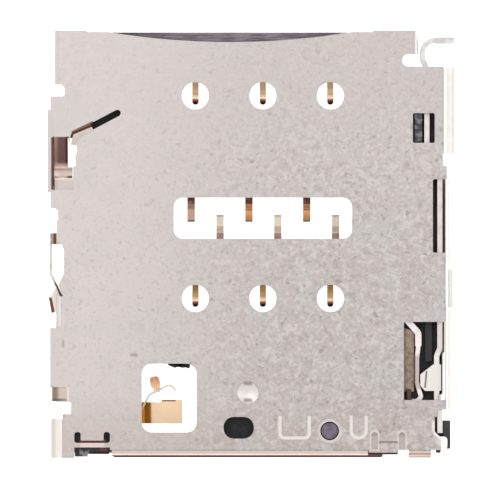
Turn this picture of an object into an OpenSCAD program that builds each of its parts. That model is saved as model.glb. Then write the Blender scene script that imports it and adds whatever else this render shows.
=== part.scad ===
// Tray-type SIM card socket with a push-rod ejector, for surface mounting.
// X runs across the socket, +Y points out of the tray mouth and +Z points up from the board.

/* [Socket] */
// Width over the side walls
socket_w = 15.4; // [15:0.1:17]
// Length from the front edge to the rear edge
socket_l = 16.1; // [15.6:0.1:18]
// Height above the board
socket_h = 1.4; // [1.35:0.05:1.8]
// Thickness of the cover's steel sheet
sheet = 0.15; // [0.1:0.01:0.18]
// Thickness of the base floor
floor_t = 0.4; // [0.36:0.02:0.5]
// Running clearance beside and under the pieces that move
run_gap = 0.06; // [0.04:0.01:0.08]
// Margin by which an opening in the base exceeds the one above it in the cover
open_gap = 0.05; // [0.02:0.01:0.1]

/* [Card contacts] */
// Contact spacing across the card
pitch_x = 2.54; // [2.4:0.02:2.7]
// Distance between the two rows of contacts
pitch_y = 7.62; // [7.4:0.02:7.8]
// Middle of the contact grid, to the right of the socket's middle
grid_x = 0.41; // [0:0.01:0.6]
// Middle of the contact grid, in front of the socket's middle
grid_y = 1.78; // [1.6:0.01:1.9]
// Thickness of the contact strip
contact_t = 0.12; // [0.08:0.01:0.16]
// Height of the strip's underside in the floor
strip_z = 0.14; // [0.12:0.01:0.18]
// Width of the strip in the floor
strip_w = 0.3; // [0.2:0.01:0.36]
// Width of the free arm
arm_w = 0.23; // [0.18:0.01:0.35]
// Length of the free arm from its root to its tip
arm_len = 1.55; // [1.4:0.05:1.65]
// Height of the tip's crown above the board
tip_z = 0.8; // [0.7:0.02:0.95]
// Distance of the tip behind the middle of its hole
tip_drop = 0.15; // [0:0.01:0.25]
// Width of a solder tail
tail_w = 0.28; // [0.2:0.01:0.36]
// Spacing of the solder tails along the slot
tail_pitch = 1.09; // [0.95:0.01:1.2]
// Reach of a solder tail into the slot
tail_reach = 0.96; // [0.8:0.01:1.2]
// Width of the base window under a contact arm
arm_window_w = 1.24; // [1.1:0.02:1.3]
// Length of that window past the tip
arm_window_past = 0.65; // [0.6:0.01:0.75]

/* [Cover openings] */
// Diameter of the hole over each contact tip
hole_d = 1.03; // [0.9:0.01:1.1]
// Width of the solder tail slot
slot_w = 6.71; // [6.4:0.01:7]
// Length of the solder tail slot
slot_l = 1.55; // [1.4:0.01:1.7]
// Distance of the slot's middle behind the middle of the grid
slot_back = 0.79; // [0.7:0.01:0.9]
// Corner radius of the slot
slot_r = 0.35; // [0.2:0.01:0.5]
// Width of the curved recess in the front edge
recess_w = 9.17; // [8:0.01:9.6]
// Depth of that recess
recess_d = 0.38; // [0.2:0.01:0.5]
// Middle of the recess, to the left of the socket's middle
recess_left = 0.83; // [0.4:0.01:1]
// Setback of the front edge between its two corner shoulders
front_step = 0.06; // [0.03:0.01:0.1]
// Width of the detect switch window
detect_w = 2.07; // [1.9:0.01:2.2]
// Length of the detect switch window
detect_l = 2.59; // [2.4:0.01:2.7]
// Right edge of the detect switch window, left of the socket's middle
detect_left = 2.08; // [2.05:0.01:2.2]
// Rear edge of the detect switch window, ahead of the rear edge
detect_ahead = 0.98; // [0.95:0.01:1.1]
// Corner radius of that window
detect_r = 0.38; // [0.2:0.01:0.5]

/* [Cover folds and edges] */
// Outer radius of the narrow folds
tight_r = 0.22; // [0.2:0.01:0.26]
// Outer radius of the middle folds
mid_r = 0.3; // [0.26:0.01:0.34]
// Outer radius of the wide folds
wide_r = 0.45; // [0.36:0.01:0.48]
// Inset of the front left flange from the left side
front_in = 0.28; // [0.24:0.01:0.34]
// Inset of the front right flange from the right side
hook_in = 1.45; // [1.4:0.01:1.5]
// Inset of the front right wall from the right side
wall_in = 0.07; // [0:0.01:0.1]
// Inset of the wall beside the rod slot from the right side
slot_wall_in = 0.22; // [0.2:0.01:0.26]
// Inset of the rear right wall from the right side
rear_wall_in = 0.14; // [0.1:0.01:0.18]
// Inset of the rear left wall from the left side
corner_in = 0.13; // [0.08:0.01:0.2]
// Depth of the front left notch from the left side
notch_in = 0.66; // [0.6:0.01:0.68]
// Length of the notches in the left edge
notch_l = 0.46; // [0.36:0.01:0.5]
// Depth of the middle left notch from the left side
mid_notch_in = 0.41; // [0.36:0.01:0.5]
// Depth of the rear left notch from the left side
rear_notch_in = 0.9; // [0.8:0.01:0.92]
// Fold line of the rear edge, ahead of the rear edge of the base
rear_line = 0.325; // [0.3:0.005:0.34]
// Width of the shallow U grooves
groove_w = 0.13; // [0.1:0.01:0.18]
// Depth of the shallow grooves
groove_d = 0.04; // [0.02:0.01:0.06]
// Diameter of the lever's guide dimple
dimple_d = 0.89; // [0.7:0.01:0.95]
// Depth of the guide dimple
dimple_depth = 0.12; // [0.06:0.01:0.14]

/* [Ejector] */
// Thickness of the push rod's strip
rod_t = 0.2; // [0.14:0.01:0.22]
// Inset of the rod's front run from the right side
rod_front_in = 1.12; // [1.1:0.01:1.14]
// Inset of the rod's rear run from the right side
rod_rear_in = 0.63; // [0.62:0.01:0.65]
// Length of the hooked push face
push_w = 1.2; // [1:0.01:1.22]
// Setback of the push face from the front edge
push_back = 0.25; // [0.2:0.01:0.4]
// Thickness of the lever
lever_t = 0.32; // [0.24:0.01:0.34]
// Width of the lever's arms
lever_w = 0.5; // [0.4:0.01:0.54]
// Length of the lever's tray arm
tray_arm = 4.6; // [4:0.05:4.7]
// Rise of the tray arm with the rod pushed in, in degrees
tray_arm_rise = 20; // [18:0.5:22]
// Droop of the rod arm with the rod pushed in, in degrees
rod_arm_droop = 6; // [4:0.5:6.5]
// Pivot to the right of the socket's middle
pivot_x = 2.92; // [2.8:0.01:3]
// Pivot ahead of the rear edge
pivot_ahead = 1.04; // [1:0.01:1.1]
// Radius of the pivot post
post_r = 0.31; // [0.24:0.01:0.32]
// Radial clearance of the lever on its post
bore_gap = 0.04; // [0.02:0.01:0.06]

/* [Springs] */
// Thickness of the latch spring's strip
latch_t = 0.17; // [0.1:0.01:0.18]
// Height of the latch spring's strip
latch_h = 0.5; // [0.4:0.01:0.52]
// Thickness of the side spring's strip
side_t = 0.08; // [0.06:0.01:0.12]
// Height of the side spring's strip
side_h = 0.6; // [0.4:0.01:0.62]
// Thickness of the detect switch's spring strip
detect_t = 0.07; // [0.05:0.01:0.09]

/* [Hidden] */

half_w = socket_w / 2;
half_l = socket_l / 2;
plate_z = socket_h - sheet;
cut = 1;

steel = [0.80, 0.78, 0.76];
plastic = [0.22, 0.21, 0.23];
gold = [0.85, 0.66, 0.42];
bright = [0.86, 0.85, 0.84];

// Places measured in from the left and right sides and from the front and rear edges
function xl(d) = d - half_w;
function xr(d) = half_w - d;
function yf(d) = half_l - d;
function yr(d) = d - half_l;

function unit(v) = v / norm(v);
function flat(p) = [p.x, p.y];

// Points of the arc that rounds the corner b between a and c
function corner(a, b, c, r, steps = 5) =
    let (
        u = unit(a - b),
        v = unit(c - b),
        half = acos(u * v) / 2,
        centre = b + unit(u + v) * r / sin(half),
        s = b + u * r / tan(half) - centre,
        e = b + v * r / tan(half) - centre,
        turn = cross(s, e) > 0 ? 1 : -1,
        start = atan2(s.y, s.x),
        sweep = acos(min(1, max(-1, s * e / (r * r))))
    )
    [for (k = [0 : steps]) centre + r * [cos(start + turn * sweep * k / steps),
                                         sin(start + turn * sweep * k / steps)]];

// Corner i of a list of [x, y, radius], as one point or as an arc
function bend_at(pts, i) =
    let (
        n = len(pts),
        p = pts[i]
    )
    p.z > 0 ? corner(flat(pts[(i + n - 1) % n]), flat(p), flat(pts[(i + 1) % n]), p.z) : [flat(p)];

// Closed outline and open route with their corners rounded
function rounded(pts) = [for (i = [0 : len(pts) - 1]) each bend_at(pts, i)];
function route(pts) = [for (i = [0 : len(pts) - 1])
    each (i == 0 || i == len(pts) - 1 ? [flat(pts[i])] : bend_at(pts, i))];

// Mitred step from a route's point i to its left side, for a strip of width 1
function side_step(path, i) =
    let (
        last = len(path) - 1,
        before = unit(i == 0 ? path[1] - path[0] : path[i] - path[i - 1]),
        after = unit(i == last ? path[last] - path[last - 1] : path[i + 1] - path[i]),
        along = unit(before + after)
    )
    [-along.y, along.x] / (2 * (along * before));

// Outline of a strip of width w along an open route
function ribbon(path, w) = concat(
    [for (i = [0 : len(path) - 1]) path[i] + w * side_step(path, i)],
    [for (i = [len(path) - 1 : -1 : 0]) path[i] - w * side_step(path, i)]);

// Upright slab over a plan outline
module slab(outline, z0, z1) {
    translate([0, 0, z0])
        linear_extrude(z1 - z0)
            polygon(outline);
}

module box(x0, x1, y0, y1, z0, z1) {
    translate([x0, y0, z0])
        cube([x1 - x0, y1 - y0, z1 - z0]);
}

// Side profile in Y and Z, carried across X from x0 to x1
module across_x(outline, x0, x1) {
    translate([x0, 0, 0])
        rotate([90, 0, 90])
            linear_extrude(x1 - x0)
                polygon(outline);
}

// Cross-section in X and Z, carried along Y from y0 to y1
module along_y(outline, y0, y1) {
    translate([0, y1, 0])
        rotate([90, 0, 0])
            linear_extrude(y1 - y0)
                polygon(outline);
}

module rounded_rect(x0, x1, y0, y1, r) {
    polygon(rounded([[x0, y0, r], [x1, y0, r], [x1, y1, r], [x0, y1, r]]));
}

// Card contact grid
hole_xs = [for (i = [-1 : 1]) grid_x + i * pitch_x];
front_row = grid_y + pitch_y / 2;
rear_row = grid_y - pitch_y / 2;
slot_y = grid_y - slot_back;
slot_front = slot_y + slot_l / 2;
slot_rear = slot_y - slot_l / 2;
tail_zc = contact_t / 2;
strip_zc = strip_z + contact_t / 2;
tip_zc = tip_z - contact_t / 2;
root_bar = 0.3;
leg_gap = 0.08;
leg_off = (arm_window_w + strip_w) / 2 + leg_gap;

// Cover stations along Y
front_notch_f = 2.02;
left_wall_f = 2.99;
left_wall_l = 3.09;
tongue_f = 3.98;
tongue_l = 1.58;
mid_notch_f = 6.68;
spring_edge_f = 7.95;
lip_f = 10.0;
rear_left_f = 11.19;
pad_r = 2.69;
pad_l = 0.52;
rear_notch_r = 2.13;
corner_r = 1.49;
hook_notch_f = 0.89;
hook_notch_l = 0.47;
right_wall_l = 3.28;
gap_l = 0.46;
rod_slot_f = 5.59;
rod_slot_l = 2.77;
bump_l = 0.38;
finger_gap = 0.24;
rear_wall_r = 5.7;
latch_win_r = 5.14;
latch_win_l = 2.94;
rear_wall_end_r = 1.85;
ear_r = 0.83;
rod_win_f = 3.11;
rod_win_l = 1.12;

// Cover fold lines and free edges across X
front_left_x = xl(front_in) + tight_r;
left_wall_x = xl(0) + tight_r;
left_edge_in = 0.12;
left_edge_x = xl(left_edge_in);
spring_edge_in = 0.36;
spring_edge_x = xl(spring_edge_in);
lip_in = 0.33;
lip_x = xl(lip_in) + mid_r;
rear_left_in = 0.1;
rear_left_x = xl(rear_left_in) + tight_r;
corner_x = xl(corner_in) + wide_r;
hook_x = xr(hook_in) - tight_r;
hook_notch_in = 2.06;
hook_notch_x = xr(hook_notch_in);
right_wall_x = xr(wall_in) - wide_r;
slot_wall_x = xr(slot_wall_in) - tight_r;
rear_wall_x = xr(rear_wall_in) - mid_r;
ear_in = 0.34;
ear_fold_r = 0.3;
ear_x = xr(ear_in) - ear_fold_r;
ear_root_in = 0.83;
ear_neck_r = 1.02;
ear_neck_w = 0.18;
rod_slot_in = 0.9;
rod_slot_x = xr(rod_slot_in);
latch_win_in = 1.99;
latch_win_x = xr(latch_win_in);
rod_win_in = 1.65;
rod_win_x = xr(rod_win_in);
rod_win_w = 0.82;

// Rear edge stations across X
rear_fold_left = 2.43;
rear_fold_right = 3.34;
rear_fold_x0 = xl(rear_fold_left);
rear_fold_x1 = xr(rear_fold_right);
rear_fold_r = 0.2;
tab_in = 0.97;
tab_w = 0.83;
tab_x1 = xr(tab_in);
tab_x0 = tab_x1 - tab_w;
hook_win_in = 1.02;
hook_win_w = 1.34;
hook_win_x0 = xl(hook_win_in);
hook_win_x1 = hook_win_x0 + hook_win_w;
hook_slot_w = 0.24;
hook_win_r = 1.0;
hook_bar_r0 = 0.42;
hook_bar_r1 = 0.59;
hook_tab_r = 0.68;
corner_end_r = 0.02;

recess_x = -recess_left;
recess_radius = (pow(recess_w / 2, 2) + recess_d * recess_d) / (2 * recess_d);
shoulder_l = 0.82;
shoulder_slope = 0.05;
recess_steps = 16;

// Detect switch window
detect_x1 = -detect_left;
detect_x0 = detect_x1 - detect_w;
detect_y0 = yr(detect_ahead);
detect_y1 = detect_y0 + detect_l;

// Lever and rod
pivot_y = yr(pivot_ahead);
lever_lift = 0.24;
lever_taper = 0.2;
lever_end_round = 0.3;
lever_z0 = floor_t + lever_lift;
rod_front_x = xr(rod_front_in);
rod_rear_x = xr(rod_rear_in);
rod_z0 = floor_t + run_gap;
rod_top_gap = 0.08;
rod_z1 = plate_z - rod_top_gap;
rod_reach = rod_rear_x - pivot_x;
rod_end_y = pivot_y - (rod_reach + rod_t / 2) * tan(rod_arm_droop) + lever_w / 2 / cos(rod_arm_droop)
    + lever_w * lever_taper / 2 + run_gap;
hub_r = 0.62;

// Cover outline, clockwise from the front left corner, as [x, y, corner radius]
function recess_arc() = [for (k = [0 : recess_steps])
    let (u = (2 * k / recess_steps - 1) * recess_w / 2)
    [recess_x + u,
     yf(front_step) - (sqrt(pow(recess_radius, 2) - u * u) - (recess_radius - recess_d)), 0]];

function cover_front() = concat(
    [[front_left_x, yf(0), 0],
     [recess_x - recess_w / 2 - shoulder_l, yf(0), 0],
     [recess_x - recess_w / 2 - shoulder_l + shoulder_slope, yf(front_step), 0]],
    recess_arc(),
    [[recess_x + recess_w / 2 + shoulder_l - shoulder_slope, yf(front_step), 0],
     [recess_x + recess_w / 2 + shoulder_l, yf(0), 0],
     [hook_x, yf(0), 0]]);

nick_r = 0.04;
edge_r = 0.05;
lobe_r = 0.12;
slack = 0.005;
step_out = 0.07;

function cover_right() =
    let (
        notch_r = hook_notch_l / 2 - slack,
        notch_f1 = hook_notch_f + hook_notch_l,
        wall_end_f = notch_f1 + right_wall_l + gap_l,
        step_x = slot_wall_x + step_out,
        root_x = xr(ear_root_in)
    )
    [[hook_x, yf(hook_notch_f), 0],
     [hook_notch_x, yf(hook_notch_f), notch_r],
     [hook_notch_x, yf(notch_f1), notch_r],
     [right_wall_x, yf(notch_f1), 0],
     [right_wall_x, yf(wall_end_f), nick_r],
     [step_x, yf(wall_end_f), edge_r],
     [step_x, yf(rod_slot_f), 0],
     [slot_wall_x, yf(rod_slot_f), 0],
     [slot_wall_x, yf(rod_slot_f + rod_slot_l), 0],
     [rear_wall_x, yf(rod_slot_f + rod_slot_l), 0],
     [rear_wall_x, yr(rear_wall_end_r), nick_r],
     [root_x, yr(rear_wall_end_r), lobe_r],
     [root_x, yr(ear_neck_r), lobe_r],
     [root_x + ear_neck_w, yr(ear_r), lobe_r],
     [ear_x, yr(ear_r), 0]];

function cover_rear() =
    [[ear_x, yr(rear_line), 0],
     [hook_win_x0, yr(rear_line), 0],
     [hook_win_x0, yr(corner_end_r), 0],
     [corner_x, yr(corner_end_r), 0]];

notch_soft = 0.4;
lip_ease_l = 0.3;
lip_ease_w = 0.12;
lip_ease_r = 0.15;
mid_notch_r = 0.18;

function cover_left() =
    let (notch_r = notch_l / 2 - slack)
    [[corner_x, yr(rear_notch_r - notch_l), edge_r],
     [xl(rear_notch_in), yr(rear_notch_r - notch_l), edge_r],
     [xl(rear_notch_in), yr(rear_notch_r), nick_r],
     [rear_left_x, yr(rear_notch_r), 0],
     [rear_left_x, yf(rear_left_f), 0],
     [lip_x, yf(rear_left_f), 0],
     [lip_x, yf(spring_edge_f + lip_ease_l), lip_ease_r],
     [lip_x - lip_ease_w, yf(spring_edge_f), lip_ease_r],
     [spring_edge_x, yf(spring_edge_f), nick_r],
     [spring_edge_x, yf(mid_notch_f + notch_l), 0],
     [xl(mid_notch_in), yf(mid_notch_f + notch_l), 0],
     [xl(mid_notch_in), yf(mid_notch_f), mid_notch_r],
     [left_edge_x, yf(mid_notch_f), nick_r],
     [left_edge_x, yf(left_wall_f + left_wall_l), 0],
     [left_wall_x, yf(left_wall_f + left_wall_l), 0],
     [left_wall_x, yf(left_wall_f), 0],
     [left_edge_x, yf(left_wall_f), 0],
     [left_edge_x, yf(front_notch_f + notch_l), nick_r],
     [xl(notch_in), yf(front_notch_f + notch_l), notch_r * notch_soft],
     [xl(notch_in), yf(front_notch_f), notch_r],
     [front_left_x, yf(front_notch_f), 0]];

module cover_blank() {
    polygon(rounded(concat(cover_front(), cover_right(), cover_rear(), cover_left())));
}

// Tongue opening in the left edge, and the slit that frees the tongue
tongue_side = 0.02;
tongue_x0 = left_wall_x - tongue_side;
tongue_in = 0.05;
tongue_w = 0.56;
tongue_end_w = 0.69;
tongue_end_l = 0.42;
tongue_past = 0.04;
side_gap_w = 0.08;
side_gap_l = 0.45;
free_w = 0.29;
free_f = 4.31;
free_l = 0.81;
free_bulge = 0.03;
slit_w = 0.25;
slit_tip_in = 2.64;
slit_tip_f = 3.11;
slit_neck_in = 1.67;
slit_neck_f = 3.62;
slit_gap_w = 0.09;
slit_gap_lift = 0.04;
slit_turn_in = 0.95;
slit_turn_f = 3.88;
slit_turn_r = 0.1;

module tongue_opening() {
    x1 = tongue_x0 + tongue_in + tongue_w;
    x2 = tongue_x0 + tongue_in + tongue_end_w + tongue_past;
    end_f = tongue_f + tongue_l;
    polygon([
        [tongue_x0, yf(tongue_f)],
        [x1, yf(tongue_f)],
        [x1, yf(end_f - tongue_end_l - tongue_past)],
        [x2, yf(end_f - tongue_end_l - tongue_past)],
        [x2, yf(end_f)],
        [tongue_x0 + side_gap_w, yf(end_f)],
        [tongue_x0 + side_gap_w, yf(end_f + side_gap_l)],
        [tongue_x0, yf(end_f + side_gap_l)]]);
    polygon([
        [x1 - tongue_past, yf(free_f)],
        [x1 + free_w, yf(free_f)],
        [x1 + free_w + free_bulge, yf(free_f + free_l / 4)],
        [x1 + free_w - free_bulge, yf(free_f + free_l / 2)],
        [x1 + free_w - free_bulge, yf(free_f + free_l)],
        [x1 - tongue_past, yf(free_f + free_l)]]);
    polygon(ribbon([[xl(slit_neck_in), yf(slit_neck_f)], [xl(slit_tip_in), yf(slit_tip_f)]], slit_w));
    translate([xl(slit_tip_in), yf(slit_tip_f)])
        circle(d = slit_w, $fn = 32);
    polygon(ribbon(route([
        [xl(slit_neck_in), yf(slit_neck_f) + slit_gap_lift, 0],
        [xl(slit_turn_in), yf(slit_turn_f), slit_turn_r],
        [x1, yf(free_f + slit_gap_w), 0]]), slit_gap_w));
}

// Openings right through the cover's top
oval_x = -0.5;
oval_ahead = 1.16;
oval_w = 1.14;
oval_l = 0.82;
oval_r = 0.38;
post_hole_r = post_r + bore_gap;
window_r = 0.06;
rod_slot_r = 0.08;
hook_slot_r = 0.1;

module hook_window() {
    for (x = [hook_win_x0, hook_win_x1 - hook_slot_w])
        rounded_rect(x, x + hook_slot_w, yr(hook_bar_r1), yr(hook_win_r),
                     hook_slot_r);
    translate([hook_win_x0 + hook_slot_w / 2, yr(hook_bar_r1)])
        square([hook_win_x1 - hook_win_x0 - hook_slot_w, hook_tab_r - hook_bar_r1]);
    translate([hook_win_x0, yr(-cut)])
        square([hook_win_x1 - hook_win_x0, hook_bar_r0 + cut]);
}

module cover_openings() {
    for (x = hole_xs, y = [front_row, rear_row])
        translate([x, y])
            circle(d = hole_d, $fn = 48);
    rounded_rect(grid_x - slot_w / 2, grid_x + slot_w / 2, slot_rear, slot_front, slot_r);
    rounded_rect(detect_x0, detect_x1, detect_y0, detect_y1, detect_r);
    rounded_rect(oval_x - oval_w / 2, oval_x + oval_w / 2, yr(oval_ahead) - oval_l / 2,
                 yr(oval_ahead) + oval_l / 2, oval_r);
    translate([pivot_x, pivot_y])
        circle(r = post_hole_r, $fn = 48);
    rounded_rect(rod_win_x, rod_win_x + rod_win_w, yf(rod_win_f + rod_win_l), yf(rod_win_f),
                 window_r);
    rounded_rect(rod_slot_x, half_w + cut, yf(rod_slot_f + rod_slot_l), yf(rod_slot_f),
                 rod_slot_r);
    rounded_rect(latch_win_x, half_w + cut, yr(latch_win_r - latch_win_l), yr(latch_win_r),
                 window_r);
    tongue_opening();
    hook_window();
}

// Bent edge in section: a quarter turn from the fold line, then a straight drop
function fold_section(r, drop) = ribbon(concat(
    [for (k = [0 : 8]) [(r - sheet / 2) * sin(k * 90 / 8), (r - sheet / 2) * cos(k * 90 / 8) - r]],
    drop > r ? [[r - sheet / 2, -drop]] : []), sheet);

// Fold along a right edge at x, from y0 to y1
module fold_right(x, y0, y1, r, drop) {
    translate([x, 0, socket_h])
        along_y(fold_section(r, drop), y0, y1);
}

module fold_left(x, y0, y1, r, drop) {
    mirror([1, 0, 0])
        fold_right(-x, y0, y1, r, drop);
}

module fold_rear(y, x0, x1, r, drop) {
    rotate([0, 0, -90])
        fold_right(-y, x0, x1, r, drop);
}

flange_drop = 0.55;
flange_lift = 0.1;
wall_relief = 0.04;
ear_corner_r = 0.16;

// Ear folded over the plastic corner block, with a rounded end
module cover_ear() {
    intersection() {
        fold_right(ear_x, yr(rear_line), yr(ear_r), ear_fold_r, ear_fold_r);
        slab(rounded([
            [ear_x - cut, yr(rear_line), 0],
            [xr(ear_in), yr(rear_line), ear_corner_r],
            [xr(ear_in), yr(ear_r), ear_corner_r],
            [ear_x - cut, yr(ear_r), 0]]), 0, socket_h + cut);
    }
}

module cover_folds() {
    notch_f1 = hook_notch_f + hook_notch_l;
    slot_end = rod_slot_f + rod_slot_l;
    fold_left(front_left_x, yf(front_notch_f), yf(0), tight_r,
              socket_h - flange_lift);
    fold_left(left_wall_x, yf(left_wall_f + left_wall_l), yf(left_wall_f), tight_r, socket_h);
    fold_left(lip_x, yf(rear_left_f), yf(lip_f), mid_r, mid_r);
    fold_left(rear_left_x, yr(pad_r), yf(rear_left_f), tight_r, socket_h);
    fold_left(corner_x, yr(corner_end_r), yr(corner_r), wide_r, socket_h);
    fold_right(hook_x, yf(hook_notch_f), yf(0), tight_r, flange_drop);
    fold_right(right_wall_x, yf(notch_f1 + right_wall_l), yf(notch_f1 + wall_relief), wide_r,
               socket_h);
    fold_right(slot_wall_x, yf(slot_end), yf(rod_slot_f), tight_r, socket_h);
    fold_right(rear_wall_x, yf(slot_end + bump_l), yf(slot_end), mid_r, socket_h);
    fold_right(rear_wall_x, yr(rear_wall_end_r), yr(rear_wall_r), mid_r, socket_h);
    cover_ear();
    fold_rear(yr(rear_line), rear_fold_x0, rear_fold_x1, rear_fold_r, flange_drop);
    fold_rear(yr(rear_line), tab_x0, tab_x1, mid_r, socket_h);
}

// Spring finger that runs forward from the rear right wall
finger_z0 = 0.3;

module cover_finger() {
    box(xr(rear_wall_in + sheet), xr(rear_wall_in), yr(rear_wall_r),
        yf(rod_slot_f + rod_slot_l + bump_l + finger_gap), finger_z0, socket_h - mid_r);
}

// Tongue cut from the top and bent down into the tray's path, with a wider curled end
tongue_low = 0.42;
tongue_flat = 0.06;
tongue_root_r = 0.12;
tongue_slope_l = 0.97;
tongue_foot_l = 0.25;
tongue_foot_r = 0.2;
tongue_curl = 0.24;
tongue_gap = 0.05;

module cover_tongue() {
    x0 = tongue_x0 + tongue_in;
    x1 = x0 + tongue_w;
    x2 = x0 + tongue_end_w;
    mid_z = socket_h - sheet / 2;
    low_z = mid_z - tongue_low;
    end_f = tongue_f + tongue_l - tongue_gap;
    wide_f = end_f - tongue_end_l + tongue_gap;
    intersection() {
        across_x(ribbon(route([
            [yf(tongue_f), mid_z, 0],
            [yf(tongue_f + tongue_flat), mid_z, tongue_root_r],
            [yf(tongue_f + tongue_slope_l), low_z, tongue_foot_r],
            [yf(tongue_f + tongue_slope_l + tongue_foot_l), low_z, tongue_foot_r],
            [yf(end_f), low_z + tongue_curl, 0]]), sheet), x0, x2);
        slab([
            [x0, yf(tongue_f)],
            [x1 - tongue_past, yf(tongue_f)],
            [x1 - tongue_past, yf(wide_f)],
            [x2, yf(wide_f)],
            [x2, yf(end_f + cut)],
            [x0, yf(end_f + cut)]], 0, socket_h + cut);
    }
}

// Grooves pressed into the top face
function u_groove(x0, x1, y0, y1, r) = ribbon(route([
    [x0, y1, 0],
    [x0, y0, r],
    [x1, y0, r],
    [x1, y1, 0]]), groove_w);

u_rear = 0.78;
u_front = 1.62;
wide_u_x = 1.05;
wide_u_w = 1.1;
wide_u_r = 0.16;
slim_u_x = 3.73;
slim_u_w = 0.56;
slim_u_r = 0.27;
relief_in = [3.09, 2.06];
relief_x = [for (d = relief_in) xr(d)];
relief_w = 0.24;
relief_r = 0.11;
relief_front = 0.99;
crease_r = 0.58;
crease_l = 0.08;
crease_gap = 0.16;
collar_r = 0.46;
pad_reach = 0.5;
ledge_l = 0.42;
ramp_in = [1.7, 1.26, 1.1];
ramp_f = [3.76, 4.03, 4.28];

// Coined ledge behind the tongue and ramp beside the slit
module tongue_coining() {
    end_f = tongue_f + tongue_l;
    x0 = tongue_x0 + side_gap_w;
    x2 = tongue_x0 + tongue_in + tongue_end_w + tongue_past;
    translate([x0, yf(end_f + ledge_l)])
        square([x2 - x0, ledge_l + slit_gap_w]);
    polygon([
        [xl(slit_neck_in), yf(slit_neck_f)],
        [xl(ramp_in[0]), yf(ramp_f[0])],
        [xl(ramp_in[1]), yf(ramp_f[1])],
        [xl(ramp_in[2]), yf(ramp_f[2])],
        [xl(slit_turn_in), yf(ramp_f[2])],
        [xl(slit_turn_in), yf(slit_turn_f)]]);
}

module cover_grooves() {
    polygon(u_groove(wide_u_x, wide_u_x + wide_u_w, yr(u_rear), yr(u_front), wide_u_r));
    polygon(u_groove(slim_u_x, slim_u_x + slim_u_w, yr(u_rear), yr(u_front), slim_u_r));
    for (x = relief_x)
        rounded_rect(x - relief_w / 2, x + relief_w / 2, yr(rear_line - cut), yr(relief_front), relief_r);
    translate([relief_x[0] + crease_gap, yr(crease_r)])
        square([relief_x[1] - relief_x[0] - 2 * crease_gap, crease_l]);
    translate([pivot_x, pivot_y])
        circle(r = collar_r, $fn = 48);
    translate([rear_left_x - cut, yr(pad_r - pad_l)])
        square([cut + pad_reach, pad_l]);
    tongue_coining();
}

dimple_x = -0.15;
dimple_ahead = 2.47;
dimple_r = (pow(dimple_d / 2, 2) + dimple_depth * dimple_depth) / (2 * dimple_depth);

module dimple_ball(grow) {
    translate([dimple_x, yr(dimple_ahead), socket_h + dimple_r - dimple_depth])
        sphere(r = dimple_r + grow, $fn = 96);
}

// Underside of the dimple
module dimple_bulge() {
    intersection() {
        dimple_ball(sheet);
        box(dimple_x - dimple_d, dimple_x + dimple_d, yr(dimple_ahead) - dimple_d,
            yr(dimple_ahead) + dimple_d, plate_z - sheet - dimple_depth, plate_z + sheet / 2);
    }
}

module cover() {
    color(steel) {
        difference() {
            union() {
                translate([0, 0, plate_z])
                    linear_extrude(sheet)
                        difference() {
                            cover_blank();
                            cover_openings();
                        }
                dimple_bulge();
            }
            dimple_ball(0);
            translate([0, 0, socket_h - groove_d])
                linear_extrude(groove_d + cut)
                    cover_grooves();
        }
        cover_folds();
        cover_finger();
        cover_tongue();
    }
}

// Base floor outline
floor_left = 0.7;
floor_right = 0.4;
floor_front_f = 0.05;
floor_corner_r = 0.15;
mould_r = 0.1;
hook_floor_back = 0.25;
floor_rear_in = 0.7;
rear_ledge_r = 0.06;
rear_edge_r = 0.2;
floor_step_r = 0.34;
mid_step_r = 0.13;
mid_step_in = 0.32;
end_step_in = 0.14;
hook_foot_w = 0.48;
hook_foot_r = 0.05;
block_in = 0.23;
block_w = 0.27;
block_r0 = 0.36;
block_r1 = 1.41;
tongue_bay_in = 1.2;
tongue_bay_l = 0.1;
gap_floor_in = 0.56;
frame_in = 0.17;
frame_w = 0.2;
frame_l = 0.2;
hook_floor_x = hook_notch_x - open_gap;

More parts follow.
